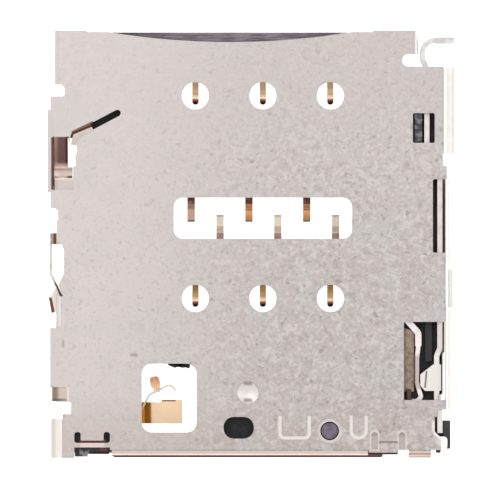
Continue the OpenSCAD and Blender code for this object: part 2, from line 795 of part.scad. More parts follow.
function floor_outline() =
    let (
        left_x = xl(floor_left),
        front_f = hook_notch_f - open_gap,
        back_f = hook_notch_f + hook_notch_l + hook_floor_back,
        gap_f = hook_notch_f + hook_notch_l + right_wall_l,
        step_x0 = relief_x[0] + mid_step_in,
        step_x1 = relief_x[1] - end_step_in,
        notch_x = xl(rear_notch_in + open_gap),
        bay_x = xl(tongue_bay_in),
        bay_f = tongue_f + tongue_l + tongue_bay_l
    )
    [[left_x, yf(floor_front_f), floor_corner_r],
     [hook_x - open_gap, yf(floor_front_f), mould_r],
     [hook_x - open_gap, yf(front_f), edge_r],
     [hook_floor_x, yf(front_f), edge_r],
     [hook_floor_x, yf(back_f), mould_r],
     [xr(floor_right), yf(back_f), edge_r],
     [xr(floor_right), yf(gap_f - open_gap), 0],
     [xr(gap_floor_in), yf(gap_f - open_gap), nick_r],
     [xr(gap_floor_in), yf(gap_f + gap_l + open_gap), nick_r],
     [xr(floor_right), yf(gap_f + gap_l + open_gap), 0],
     [xr(floor_right), yr(rear_wall_end_r), edge_r],
     [xr(floor_rear_in), yr(rear_wall_end_r), edge_r],
     [xr(floor_rear_in), yr(block_r1), 0],
     [xr(block_in), yr(block_r1), nick_r],
     [xr(block_in), yr(block_r0), nick_r],
     [tab_x0 - open_gap, yr(block_r0), 0],
     [tab_x0 - open_gap, yr(floor_step_r), 0],
     [step_x1, yr(floor_step_r), 0],
     [step_x1, yr(mid_step_r), 0],
     [step_x0, yr(mid_step_r), 0],
     [step_x0, yr(rear_ledge_r), nick_r],
     [hook_win_x1 + open_gap, yr(rear_ledge_r), nick_r],
     [hook_win_x1 + open_gap, yr(rear_edge_r), 0],
     [hook_win_x0 + hook_foot_w, yr(rear_edge_r), 0],
     [hook_win_x0 + hook_foot_w, yr(hook_foot_r), 0],
     [hook_win_x0, yr(hook_foot_r), 0],
     [hook_win_x0, yr(rear_edge_r), 0],
     [left_x, yr(rear_edge_r), mould_r],
     [left_x, yr(rear_notch_r - notch_l - open_gap), 0],
     [notch_x, yr(rear_notch_r - notch_l - open_gap), nick_r],
     [notch_x, yr(rear_notch_r + open_gap), nick_r],
     [left_x, yr(rear_notch_r + open_gap), 0],
     [left_x, yf(bay_f), 0],
     [bay_x, yf(bay_f), mould_r],
     [bay_x, yf(tongue_f + open_gap), mould_r],
     [left_x, yf(tongue_f + open_gap), 0]];

// Flash of plastic that overhangs the detect window's front edge
sliver_in = 0.26;
sliver_w = 0.84;
sliver_l = 0.14;
sliver_wave = 0.03;

function tip_y(row) = row - tip_drop;
function root_y(row) = tip_y(row) + arm_len;

module floor_windows() {
    for (x = hole_xs, row = [front_row, rear_row])
        rounded_rect(x - arm_window_w / 2, x + arm_window_w / 2, tip_y(row) - arm_window_past,
                     root_y(row), mould_r);
    rounded_rect(grid_x - slot_w / 2 - open_gap, grid_x + slot_w / 2 + open_gap,
                 slot_rear - open_gap, slot_front + open_gap, slot_r);
    difference() {
        rounded_rect(detect_x0 - open_gap, detect_x1 + open_gap, detect_y0 - open_gap,
                     detect_y1 + open_gap, detect_r);
        polygon(rounded([
            [detect_x1 - sliver_in - sliver_w, detect_y1 + mould_r, 0],
            [detect_x1 - sliver_in, detect_y1 + mould_r, 0],
            [detect_x1 - sliver_in, detect_y1 - sliver_l, nick_r],
            [detect_x1 - sliver_in - sliver_w / 3, detect_y1 - sliver_l - sliver_wave, mould_r],
            [detect_x1 - sliver_in - sliver_w * 2 / 3, detect_y1 - sliver_l + sliver_wave, mould_r],
            [detect_x1 - sliver_in - sliver_w, detect_y1, 0]]));
    }
}

// Rails and walls that stand on the floor and carry the cover
rail_w = 0.25;
rail_gap = 0.3;
right_rail_in = 1.58;
right_rail_w = 0.28;
right_rail_f = 1.72;
right_rail_r = 6.3;
front_rail_f = 0.6;
front_rail_gap = 0.1;
tongue_rail_gap = 0.15;
rear_rail_r = 0.5;
guide_in = 1.18;
guide_w = 0.26;
guide_h = 0.5;
guide_r = 3.65;
guide_past = 0.6;
rib_gap = 0.1;
rear_rib_r0 = 0.35;
rear_rib_r1 = 0.55;
hub_room = 0.12;
block_top = 0.88;
boss_gap = 0.02;
post_top_gap = 0.02;

module base_rails() {
    x0 = xl(floor_left);
    box(x0, x0 + rail_w, yf(front_notch_f - front_rail_gap), yf(front_rail_f), floor_t, plate_z);
    box(x0, x0 + rail_w, yf(spring_edge_f), yf(tongue_f + tongue_l + tongue_rail_gap), floor_t,
        plate_z);
    box(x0, x0 + rail_w, yr(pad_r), yf(rear_left_f - rail_gap), floor_t, plate_z);
    box(x0, x0 + rail_w, yr(rear_rail_r), yr(rear_notch_r - notch_l - tongue_rail_gap), floor_t,
        plate_z);
    box(xr(right_rail_in), xr(right_rail_in - right_rail_w), yr(right_rail_r), yf(right_rail_f), floor_t,
        plate_z);
    box(xr(guide_in), xr(guide_in - guide_w), yr(guide_r), yr(latch_win_r + guide_past), floor_t,
        floor_t + guide_h);
    box(rear_fold_x0, pivot_x - hub_r - hub_room, yr(rear_rib_r0), yr(rear_rib_r1), floor_t, plate_z);
    box(pivot_x + hub_r + hub_room, rear_fold_x1 - rib_gap, yr(rear_rib_r0), yr(rear_rib_r1), floor_t,
        plate_z);
    box(xr(block_in + block_w), xr(block_in), yr(block_r0), yr(block_r1), 0, block_top);
}

// Outer strip of the floor that closes the bay below the tongue
module tongue_frame() {
    bay_f0 = tongue_f + open_gap;
    bay_f1 = tongue_f + tongue_l + tongue_bay_l;
    box(xl(frame_in), xl(frame_in + frame_w), yf(bay_f1 + frame_l), yf(bay_f0 - frame_l), 0, floor_t);
    box(xl(frame_in), xl(floor_left + frame_w), yf(bay_f0), yf(bay_f0 - frame_l), 0, floor_t);
    box(xl(frame_in), xl(floor_left + frame_w), yf(bay_f1 + frame_l), yf(bay_f1), 0, floor_t);
}

// Front sill with a lead-in slope for the tray
sill_rise = 0.06;
sill_crest = 0.3;
sill_l = 0.55;
sill_root = 0.15;

module base_sill() {
    across_x([
        [yf(floor_front_f), floor_t - sill_root],
        [yf(floor_front_f + sill_crest), floor_t + sill_rise],
        [yf(floor_front_f + sill_l), floor_t],
        [yf(floor_front_f + sill_l), floor_t - sill_root]], recess_x - recess_w / 2, recess_x + recess_w / 2);
}

module base_pivot() {
    translate([pivot_x, pivot_y, floor_t]) {
        cylinder(r = hub_r, h = lever_z0 - boss_gap - floor_t, $fn = 64);
        cylinder(r = post_r, h = socket_h - post_top_gap - floor_t, $fn = 64);
    }
}

detect_post_w = 0.5;
detect_post_h = 0.5;
detect_post_r = 1.45;
detect_post_l = 0.5;

module detect_post() {
    x1 = detect_x0 - open_gap;
    box(x1 - detect_post_w, x1, yr(detect_post_r), yr(detect_post_r + detect_post_l), floor_t,
        floor_t + detect_post_h);
}

module base() {
    color(plastic)
        difference() {
            union() {
                linear_extrude(floor_t)
                    difference() {
                        polygon(rounded(floor_outline()));
                        floor_windows();
                    }
                base_rails();
                base_sill();
                base_pivot();
                detect_post();
                tongue_frame();
            }
            for (i = [0 : 2]) {
                front_contact(i);
                rear_contact(i);
            }
            detect_pad_solid();
            detect_spring_solid();
            side_foot();
        }
}

// Card contacts: solder tail, strip held in the floor, and sprung arm with a crowned, rounded tip
tail_shift = 0.02;
tail_step = 0.28;
tail_drop_l = 0.16;
strip_bend_r = 0.1;
arm_root_l = 0.12;
arm_root_r = 0.2;
neck_back = 0.22;
neck_drop = 0.08;
crown_rise = 0.02;
crown_r = 0.12;
tip_past = 0.17;
tip_reach = 0.2;
tip_fall = 0.16;
tip_round = 0.11;
front_jog = 0.75;
front_run = 0.2;
rear_run = 0.1;

function tail_x(i, row) = grid_x + tail_shift + (2 * (i - 1) + row / 2) * tail_pitch;

// Tail from the slot's edge at y, running in direction dir
module contact_tail(x, y, dir) {
    across_x(ribbon(route([
        [y, strip_zc, 0],
        [y + dir * tail_step, strip_zc, strip_bend_r],
        [y + dir * (tail_step + tail_drop_l), tail_zc, strip_bend_r],
        [y + dir * tail_reach, tail_zc, 0]]), contact_t), x - tail_w / 2, x + tail_w / 2);
}

module contact_arm(x, row) {
    x0 = x - arm_w / 2;
    x1 = x + arm_w / 2;
    end_y = tip_y(row) - tip_past;
    intersection() {
        across_x(ribbon(route([
            [root_y(row), strip_zc, 0],
            [root_y(row) - arm_root_l, strip_zc, arm_root_r],
            [tip_y(row) + neck_back, tip_zc - neck_drop, strip_bend_r],
            [tip_y(row), tip_zc + crown_rise, crown_r],
            [tip_y(row) - tip_reach, tip_zc - tip_fall, 0]]), contact_t), x0, x1);
        slab(rounded([
            [x0, root_y(row), 0],
            [x0, end_y, tip_round],
            [x1, end_y, tip_round],
            [x1, root_y(row), 0]]), 0, socket_h);
    }
}

module front_contact(i) {
    x = hole_xs[i];
    tx = tail_x(i, -1);
    edge = slot_front + open_gap;
    bar_y = root_y(front_row) + root_bar / 2;
    slab(ribbon(route([
        [x, root_y(front_row), 0],
        [x, bar_y, 0],
        [x - leg_off, bar_y, 0],
        [x - leg_off, edge + front_jog, 0],
        [tx, edge + front_run, 0],
        [tx, edge, 0]]), strip_w), strip_z, strip_z + contact_t);
    contact_arm(x, front_row);
    contact_tail(tx, edge, -1);
}

module rear_contact(i) {
    x = hole_xs[i];
    tx = tail_x(i, 1);
    edge = slot_rear - open_gap;
    slab(ribbon(route([
        [tx, edge, 0],
        [tx, edge - rear_run, 0],
        [x, root_y(rear_row) + rear_run, 0],
        [x, root_y(rear_row), 0]]), strip_w), strip_z, strip_z + contact_t);
    contact_arm(x, rear_row);
    contact_tail(tx, edge, 1);
}

module contact_c1() { color(gold) front_contact(0); }
module contact_c2() { color(gold) front_contact(1); }
module contact_c3() { color(gold) front_contact(2); }
module contact_c5() { color(gold) rear_contact(0); }
module contact_c6() { color(gold) rear_contact(1); }
module contact_c7() { color(gold) rear_contact(2); }

// Detect switch: fixed pad, and a strip on edge with a lug that the tray pushes
pad_in = 0.35;
pad_w = 1.17;
pad_x0 = detect_x0 + pad_in;
pad_x1 = pad_x0 + pad_w;
pad_r0 = 1.3;
pad_r1 = 2.1;
pad_top_r = 2.2;
pad_top_w = 0.83;
pad_top_slope = 0.08;
pad_z = 0.2;
pad_ramp = 0.22;
pad_bend_r = 0.1;
pad_hold = 0.6;

module detect_pad_solid() {
    along_y(ribbon(route([
        [pad_x1, pad_z + contact_t / 2, 0],
        [pad_x0, pad_z + contact_t / 2, pad_bend_r],
        [pad_x0 - pad_ramp, contact_t / 2, pad_bend_r],
        [detect_x0 - open_gap - pad_hold, contact_t / 2, 0]]), contact_t), yr(pad_r0), yr(pad_r1));
    slab([
        [pad_x1 - pad_top_w, yr(pad_r0)],
        [pad_x1 - pad_top_w, yr(pad_r1)],
        [pad_x1 - pad_top_w + pad_top_slope, yr(pad_top_r)],
        [pad_x1, yr(pad_top_r)],
        [pad_x1, yr(pad_r0)]], pad_z, pad_z + contact_t);
}

module detect_pad() {
    color(gold)
        detect_pad_solid();
}

detect_sunk = 0.04;
detect_h = 0.4;
detect_z0 = floor_t - detect_sunk;
detect_z1 = detect_z0 + detect_h;
root_len = 0.4;
root_r = 1.62;
heel_len = 0.1;
heel_r = 1.66;
knee_in = 0.28;
knee_r = 2.38;
crest_in = 1.05;
crest_r = 2.78;
end_in = 1.28;
end_r = 2.56;
spring_bend_r = 0.2;
lug_w = 0.36;
lug_l = 0.44;
lug_corner_r = 0.12;
lug_tilt = 15;
lug_t = 0.1;
lug_in = 0.5;
lug_r = 2.86;
lug_neck_in = 0.44;
lug_neck_w = 0.24;
lug_neck_r = 2.48;

module detect_spring_solid() {
    x0 = detect_x0;
    neck_x = x0 + lug_neck_in;
    slab(ribbon(route([
        [x0 - root_len, yr(root_r), 0],
        [x0 - heel_len, yr(heel_r), spring_bend_r],
        [x0 + knee_in, yr(knee_r), spring_bend_r],
        [x0 + crest_in, yr(crest_r), spring_bend_r],
        [x0 + end_in, yr(end_r), 0]]), detect_t), detect_z0, detect_z1);
    translate([x0 + lug_in, yr(lug_r), detect_z1])
        rotate([0, 0, lug_tilt])
            linear_extrude(lug_t)
                rounded_rect(-lug_w / 2, lug_w / 2, -lug_l / 2, lug_l / 2, lug_corner_r);
    box(neck_x, neck_x + lug_neck_w, yr(lug_neck_r), yr(lug_r), detect_z1, detect_z1 + lug_t);
}

module detect_spring() {
    color(gold)
        detect_spring_solid();
}

// Push rod: a strip on edge from the hooked push face to the lever, with a flag over the latch spring
hook_stem_in = 1.28;
hook_bend_r = 0.45;
push_t = 0.24;
push_corner_r = 0.08;
stem_f = 1.05;
stem_jog_f = 1.45;
front_run_f = 4.3;
rear_run_f = 5.2;
rod_bend_r = 0.2;
jog_bend_r = 0.3;
waist_bend_r = 0.15;
waist_in = 0.12;
waist_r0 = 2.15;
waist_r1 = 3.85;
waist_ease = 0.3;
flag_t = 0.15;
flag_z0 = rod_z1 - flag_t;
flag_left_in = 1.37;
flag_top_in = 0.88;
flag_right_in = 0.58;
flag_corner_in = 1.2;
flag_r0 = 2.54;
flag_r1 = 2.75;
flag_r2 = 3.16;
flag_r3 = 3.54;
flag_soft_r = 0.08;
crease_in = 1.13;
crease_w = 0.07;
crease_cut = 0.05;
crease_end = 0.12;
crease_tilt = 0.06;

module push_rod() {
    bar_y = yf(push_back + push_t / 2);
    stem_x = xr(hook_stem_in);
    end_x = stem_x + push_w;
    waist_x = rod_rear_x - waist_in;
    color(bright)
        difference() {
            union() {
                slab(ribbon(route([
                    [end_x, bar_y, 0],
                    [stem_x, bar_y, hook_bend_r],
                    [stem_x, yf(stem_f), rod_bend_r],
                    [rod_front_x, yf(stem_jog_f), rod_bend_r],
                    [rod_front_x, yf(front_run_f), jog_bend_r],
                    [rod_rear_x, yf(rear_run_f), jog_bend_r],
                    [rod_rear_x, yr(waist_r1 + waist_ease), waist_bend_r],
                    [waist_x, yr(waist_r1), waist_bend_r],
                    [waist_x, yr(waist_r0), waist_bend_r],
                    [rod_rear_x, yr(waist_r0 - waist_ease), waist_bend_r],
                    [rod_rear_x, rod_end_y, 0]]), rod_t), rod_z0, rod_z1);
                translate([0, 0, rod_z0])
                    linear_extrude(rod_z1 - rod_z0)
                        rounded_rect(stem_x + hook_bend_r, end_x, bar_y - push_t / 2,
                                     bar_y + push_t / 2, push_corner_r);
                slab(rounded([
                    [xr(flag_left_in), yr(flag_r2), flag_soft_r],
                    [xr(flag_top_in), yr(flag_r3), nick_r],
                    [xr(flag_right_in), yr(flag_r3), nick_r],
                    [xr(flag_right_in), yr(flag_r0), nick_r],
                    [xr(flag_corner_in), yr(flag_r0), flag_soft_r],
                    [xr(flag_left_in), yr(flag_r1), flag_soft_r]]), flag_z0, rod_z1);
            }
            slab(ribbon([
                [xr(crease_in + crease_tilt), yr(flag_r0 + crease_end)],
                [xr(crease_in), yr(flag_r2 + crease_end)]], crease_w), rod_z1 - crease_cut, rod_z1 + cut);
        }
}

// Lever: two arms on a bored hub, one under the rod's end and one behind the tray
lever_end_w = lever_w * (1 - lever_taper);
lever_end_r = lever_w * lever_end_round;
lever_past = 0.05;

module lever_arm(angle, length) {
    rotate([0, 0, angle])
        polygon(rounded([
            [0, -lever_w / 2, 0],
            [length, -lever_end_w / 2, lever_end_r],
            [length, lever_end_w / 2, lever_end_r],
            [0, lever_w / 2, 0]]));
}

module eject_lever() {
    color(bright)
        translate([pivot_x, pivot_y, lever_z0])
            linear_extrude(lever_t)
                difference() {
                    union() {
                        circle(r = hub_r, $fn = 64);
                        lever_arm(-rod_arm_droop, rod_reach / cos(rod_arm_droop) + lever_past);
                        lever_arm(180 - tray_arm_rise, tray_arm);
                    }
                    circle(r = post_r + bore_gap, $fn = 64);
                }
}

// Tray latch spring: a foot on the floor and a waved strip on edge with a nose in the tray's path
latch_z0 = floor_t + run_gap;
latch_in = 1.44;
latch_wave = 0.05;
latch_low_in = 1.33;
latch_tip_in = 2.0;
latch_tip_r = 5.35;
latch_nose_t = 0.24;
latch_nose_r = 4.72;
latch_nose_l = 0.5;
latch_dip_r = 3.75;
latch_dip_l = 0.9;
latch_turn_r = 2.15;
latch_turn_l = 0.15;
latch_hook = 0.45;
latch_wave_r = 0.3;
latch_nose_bend_r = 0.2;
latch_turn_bend_r = 0.13;
latch_foot_in = 1.79;
latch_foot_w = 0.4;
latch_foot_t = 0.12;
latch_foot_r0 = 2.5;
latch_foot_r1 = 4.75;
latch_foot_skew = 0.2;
latch_foot_corner = 0.04;

module latch_spring() {
    run_x = xr(latch_in);
    dip_x = run_x - latch_wave;
    low_x = xr(latch_low_in);
    foot_x = xr(latch_foot_in);
    foot_x0 = foot_x - latch_foot_w / 2;
    foot_x1 = foot_x + latch_foot_w / 2;
    color(bright) {
        slab(ribbon(route([
            [xr(latch_tip_in), yr(latch_tip_r), 0],
            [run_x, yr(latch_nose_r), latch_nose_bend_r],
            [run_x, yr(latch_nose_r - latch_nose_l), latch_wave_r],
            [dip_x, yr(latch_dip_r), latch_wave_r],
            [dip_x, yr(latch_dip_r - latch_dip_l), latch_wave_r],
            [low_x, yr(latch_turn_r + latch_turn_l), latch_turn_bend_r],
            [low_x - latch_turn_l, yr(latch_turn_r), latch_turn_bend_r],
            [foot_x, yr(latch_turn_r), latch_turn_bend_r],
            [foot_x, yr(latch_turn_r + latch_hook), 0]]), latch_t), latch_z0, latch_z0 + latch_h);
        slab(ribbon(route([
            [xr(latch_tip_in), yr(latch_tip_r), 0],
            [run_x, yr(latch_nose_r), latch_nose_bend_r],
            [run_x, yr(latch_nose_r - latch_nose_l), 0]]), latch_nose_t), latch_z0, latch_z0 + latch_h);
        slab(rounded([
            [foot_x0, yr(latch_foot_r0), latch_foot_corner],
            [foot_x1, yr(latch_foot_r0), latch_foot_corner],
            [foot_x1, yr(latch_foot_r1), latch_foot_corner],
            [foot_x0, yr(latch_foot_r1 + latch_foot_skew), latch_foot_corner]]),
            floor_t, floor_t + latch_foot_t);
    }
}

// Side spring: a foot held in the floor and a strip on edge whose bend presses on the tray's side
side_z0 = strip_z;
side_in = 0.11;
side_x = xl(side_in);
side_foot_f0 = 7.62;
side_foot_l = 0.42;
side_foot_hold = 0.3;
side_run_f = 9.15;
side_bow_in = 0.57;
side_bow_f = 10.1;
side_turn_in = 0.24;
side_turn_f = 10.6;
side_tip_in = 0.08;
side_tip_f = 10.08;
side_run_r = 0.15;
side_bow_r = 0.12;
side_turn_r = 0.09;

module side_foot() {
    box(side_x - side_t / 2, xl(floor_left + side_foot_hold), yf(side_foot_f0 + side_foot_l),
        yf(side_foot_f0), side_z0, side_z0 + contact_t);
}

module side_spring() {
    color(gold) {
        side_foot();
        slab(ribbon(route([
            [side_x, yf(side_foot_f0), 0],
            [side_x, yf(side_run_f), side_run_r],
            [xl(side_bow_in), yf(side_bow_f), side_bow_r],
            [xl(side_turn_in), yf(side_turn_f), side_turn_r],
            [xl(side_tip_in), yf(side_tip_f), 0]]), side_t), side_z0, side_z0 + side_h);
    }
}

cover();
base();
contact_c1();
contact_c2();
contact_c3();
contact_c5();
contact_c6();
contact_c7();
detect_spring();
detect_pad();
push_rod();
eject_lever();
latch_spring();
side_spring();
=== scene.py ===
import math

import bmesh
import bpy
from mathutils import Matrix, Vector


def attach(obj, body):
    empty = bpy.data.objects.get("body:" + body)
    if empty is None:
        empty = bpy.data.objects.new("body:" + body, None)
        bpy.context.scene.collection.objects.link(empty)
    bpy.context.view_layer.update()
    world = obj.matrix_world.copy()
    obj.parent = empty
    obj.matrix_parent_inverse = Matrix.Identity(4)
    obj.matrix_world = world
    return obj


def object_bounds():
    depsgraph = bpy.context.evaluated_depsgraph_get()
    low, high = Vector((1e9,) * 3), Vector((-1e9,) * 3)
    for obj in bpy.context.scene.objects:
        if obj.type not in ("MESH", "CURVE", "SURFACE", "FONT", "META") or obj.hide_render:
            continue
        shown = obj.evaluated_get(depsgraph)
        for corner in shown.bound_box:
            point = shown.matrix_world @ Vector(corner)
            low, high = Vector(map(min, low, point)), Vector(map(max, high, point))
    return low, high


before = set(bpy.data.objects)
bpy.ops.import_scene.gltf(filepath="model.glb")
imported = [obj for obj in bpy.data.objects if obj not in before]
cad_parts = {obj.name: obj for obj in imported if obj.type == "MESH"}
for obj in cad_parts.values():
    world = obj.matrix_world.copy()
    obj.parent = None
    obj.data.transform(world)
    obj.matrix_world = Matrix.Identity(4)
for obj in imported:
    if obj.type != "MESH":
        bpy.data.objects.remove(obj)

bpy.context.view_layer.update()
mm = 0.001
cadLow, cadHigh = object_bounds()
print("frame loaded:", len(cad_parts), "nodes")


# Shader building blocks: colours are display values 0 to 255, places are millimetres

def tone(red, green, blue):
    shares = [value / 255 for value in (red, green, blue)]
    linear = [share / 12.92 if share < 0.0405 else ((share + 0.055) / 1.055) ** 2.4 for share in shares]
    return (*linear, 1)


class Finish:
    def __init__(self, name, roughness, metallic):
        self.material = bpy.data.materials.new(name)
        self.material.use_nodes = True
        self.tree = self.material.node_tree
        self.shader = self.tree.nodes["Principled BSDF"]
        self.shader.inputs["Roughness"].default_value = roughness
        self.shader.inputs["Metallic"].default_value = metallic
        place = self.add("ShaderNodeTexCoord").outputs["Object"]
        scaled = self.add("ShaderNodeMapping")
        scaled.inputs["Scale"].default_value = (1 / mm, 1 / mm, 1 / mm)
        self.join(place, scaled.inputs["Vector"])
        self.place = scaled.outputs["Vector"]
        parts = self.add("ShaderNodeSeparateXYZ")
        self.join(self.place, parts.inputs[0])
        self.x, self.y, self.z = parts.outputs

    def add(self, kind):
        return self.tree.nodes.new(kind)

    def join(self, output, target):
        self.tree.links.new(output, target)

    def feed(self, target, value):
        if isinstance(value, bpy.types.NodeSocket):
            self.join(value, target)
        else:
            target.default_value = value

    def noise(self, scale, detail=2, roughness=0.5, distortion=0, stretch=None):
        node = self.add("ShaderNodeTexNoise")
        vector = self.place
        if stretch:
            pulled = self.add("ShaderNodeMapping")
            pulled.inputs["Scale"].default_value = stretch
            self.join(vector, pulled.inputs["Vector"])
            vector = pulled.outputs["Vector"]
        self.join(vector, node.inputs["Vector"])
        node.inputs["Scale"].default_value = scale
        node.inputs["Detail"].default_value = detail
        node.inputs["Roughness"].default_value = roughness
        node.inputs["Distortion"].default_value = distortion
        return node.outputs["Fac"]

    def ramp(self, value, start, end, low=0.0, high=1.0):
        node = self.add("ShaderNodeMapRange")
        node.interpolation_type = "SMOOTHSTEP"
        self.join(value, node.inputs["Value"])
        for socket, number in zip(node.inputs[1:5], (start, end, low, high)):
            socket.default_value = number
        return node.outputs["Result"]

    def combine(self, operation, first, second):
        node = self.add("ShaderNodeMath")
        node.operation = operation
        self.feed(node.inputs[0], first)
        self.feed(node.inputs[1], second)
        return node.outputs[0]

    def times(self, *values):
        result = values[0]
        for value in values[1:]:
            result = self.combine("MULTIPLY", result, value)
        return result

    def slope(self, normal):
        return self.combine("ADD", self.times(self.x, normal[0]), self.times(self.y, normal[1]))

    def between(self, value, start, end, soft):
        rise = self.ramp(value, start - soft, start + soft)
        fall = self.ramp(value, end - soft, end + soft, 1, 0)
        return self.times(rise, fall)

    def patch(self, x0, x1, y0, y1, soft):
        return self.times(self.between(self.x, x0, x1, soft), self.between(self.y, y0, y1, soft))

    def arch(self, x, y, radius):
        across = self.combine("SUBTRACT", self.x, x)
        along = self.combine("MAXIMUM", self.combine("SUBTRACT", self.y, y), 0)
        square = self.combine("ADD", self.times(across, across), self.times(along, along))
        inside = self.ramp(square, (radius - 0.01) ** 2, (radius + 0.01) ** 2, 1, 0)
        return self.times(inside, self.ramp(self.y, -7.8, -7.74))

    def mix(self, amount, first, second):
        node = self.add("ShaderNodeMix")
        node.data_type = "RGBA"
        self.feed(node.inputs[0], amount)
        self.feed(node.inputs[6], first)
        self.feed(node.inputs[7], second)
        return node.outputs[2]

    def colour(self, value):
        self.feed(self.shader.inputs["Base Color"], value)

    def rough(self, value):
        self.feed(self.shader.inputs["Roughness"], value)

    def bump(self, height, strength, depth):
        node = self.add("ShaderNodeBump")
        node.inputs["Strength"].default_value = strength
        node.inputs["Distance"].default_value = depth * mm
        self.join(height, node.inputs["Height"])
        self.join(node.outputs["Normal"], self.shader.inputs["Normal"])


# Lengths in millimetres, angles in degrees
clean = {
    "weld": 0.008,
    "flatAngle": 0.5,
    "sharpAngle": 40,
    "gentleAngle": 21,
    "segments": 2,
    "square": 0.9995,
}


# Smooth shading across gentle edges, crisp across sharp ones, and flat faces that lie square to the frame
def smoothGroup():
    group = bpy.data.node_groups.new("smoothFaces", "GeometryNodeTree")
    group.interface.new_socket("Geometry", in_out="INPUT", socket_type="NodeSocketGeometry")
    group.interface.new_socket("Geometry", in_out="OUTPUT", socket_type="NodeSocketGeometry")
    nodes, links = group.nodes, group.links
    start = nodes.new("NodeGroupInput")
    end = nodes.new("NodeGroupOutput")
    plain = nodes.new("GeometryNodeRemoveAttribute")
    plain.inputs["Name"].default_value = "custom_normal"
    normal = nodes.new("GeometryNodeInputNormal")
    size = nodes.new("ShaderNodeVectorMath")
    size.operation = "ABSOLUTE"
    parts = nodes.new("ShaderNodeSeparateXYZ")
    larger = nodes.new("ShaderNodeMath")
    largest = nodes.new("ShaderNodeMath")
    larger.operation = largest.operation = "MAXIMUM"
    curved = nodes.new("FunctionNodeCompare")
    curved.operation = "LESS_THAN"
    curved.inputs[1].default_value = clean["square"]
    links.new(normal.outputs[0], size.inputs[0])
    links.new(size.outputs[0], parts.inputs[0])
    links.new(parts.outputs[0], larger.inputs[0])
    links.new(parts.outputs[1], larger.inputs[1])
    links.new(larger.outputs[0], largest.inputs[0])
    links.new(parts.outputs[2], largest.inputs[1])
    links.new(largest.outputs[0], curved.inputs[0])
    faces = nodes.new("GeometryNodeSetShadeSmooth")
    links.new(curved.outputs[0], faces.inputs["Shade Smooth"])
    edges = nodes.new("GeometryNodeSetShadeSmooth")
    edges.domain = "EDGE"
    angle = nodes.new("GeometryNodeInputMeshEdgeAngle")
    gentle = nodes.new("FunctionNodeCompare")
    gentle.operation = "LESS_THAN"
    gentle.inputs[1].default_value = math.radians(clean["gentleAngle"])
    links.new(start.outputs[0], plain.inputs[0])
    links.new(plain.outputs[0], faces.inputs[0])
    links.new(faces.outputs[0], edges.inputs[0])
    links.new(angle.outputs["Unsigned Angle"], gentle.inputs[0])
    links.new(gentle.outputs[0], edges.inputs["Shade Smooth"])
    links.new(edges.outputs[0], end.inputs[0])
    return group


smoothFaces = smoothGroup()


# Gives a CAD node its finish, a small broken edge and clean shading
def dress(name, finish, edge):
    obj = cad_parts[name]
    obj.data.materials.clear()
    obj.data.materials.append(finish.material)
    weld = obj.modifiers.new("weld", "WELD")
    weld.merge_threshold = clean["weld"] * mm
    flat = obj.modifiers.new("flat", "DECIMATE")
    flat.decimate_type = "DISSOLVE"
    flat.angle_limit = math.radians(clean["flatAngle"])
    broken = obj.modifiers.new("brokenEdge", "BEVEL")
    broken.width = edge * mm
    broken.segments = clean["segments"]
    broken.limit_method = "ANGLE"
    broken.angle_limit = math.radians(clean["sharpAngle"])
    shade = obj.modifiers.new("shade", "NODES")
    shade.node_group = smoothFaces


cover = {
    "edge": 0.045,
    "left": tone(199, 191, 188),
    "right": tone(181, 173, 171),
    "pale": tone(192, 184, 182),
    "rearTint": tone(177, 161, 155),
    "bright": tone(206, 200, 196),
    "speck": tone(154, 145, 142),
    "pit": tone(140, 130, 127),
    "dentShadeAndReflection": tone(128, 116, 112),
    "marks": ((-7.1, -3.72, 0.05, 0.28), (-4.44, -4.15, 0.26, 0.08), (6.95, 3.18, 0.07, 0.12),
              (-7.1, -6.44, 0.1, 0.1), (-0.15, -5.23, 0.32, 0.12), (-0.15, -5.86, 0.32, 0.14)),
    "cool": tone(184, 180, 178),
    "grooveSheen": tone(222, 215, 212),
    "relief": tone(178, 170, 166),
    "reliefTop": tone(158, 149, 145),
    "crease": tone(156, 141, 133),
    "tongueShading": tone(108, 80, 78),
    "tongueShadingPale": tone(158, 126, 112),
    "tongueShadingDeep": tone(70, 42, 32),
    "bend": tone(226, 198, 184),
    "curl": tone(252, 232, 220),
    "slitShadow": tone(92, 66, 56),
    "ledge": tone(193, 181, 174),
    "brownTone": tone(144, 128, 112),
    "brownToneDark": tone(110, 98, 86),
    "padTone": tone(194, 180, 171),
    "bar": tone(216, 201, 194),
    "foldStartHighlight": tone(246, 243, 236),
    "leftFold": tone(196, 190, 187),
    "cornerFold": tone(199, 193, 187),
    "cornerPale": tone(244, 237, 228),
    "rightFold": tone(188, 185, 174),
    "rearFold": tone(206, 188, 181),
    "rearStart": tone(224, 206, 199),
    "tabLine": tone(168, 138, 130),
    "tabEnd": tone(160, 139, 113),
    "finger": tone(232, 229, 224),
    "flare": tone(226, 213, 204),
    "earHighlight": tone(246, 239, 236),
    "roughness": 0.42,
    "metallic": 0.85,
    "specular": 0.5,
    "reliefs": (4.61, 5.64),
    "strips": ("windowLip", "padTip", "lipFlare", "lipCorner", "rearHem", "earRoot"),
    "slitNormal": (-0.435, 0.9),
    "sweepNormal": (0.556, 0.831),
}


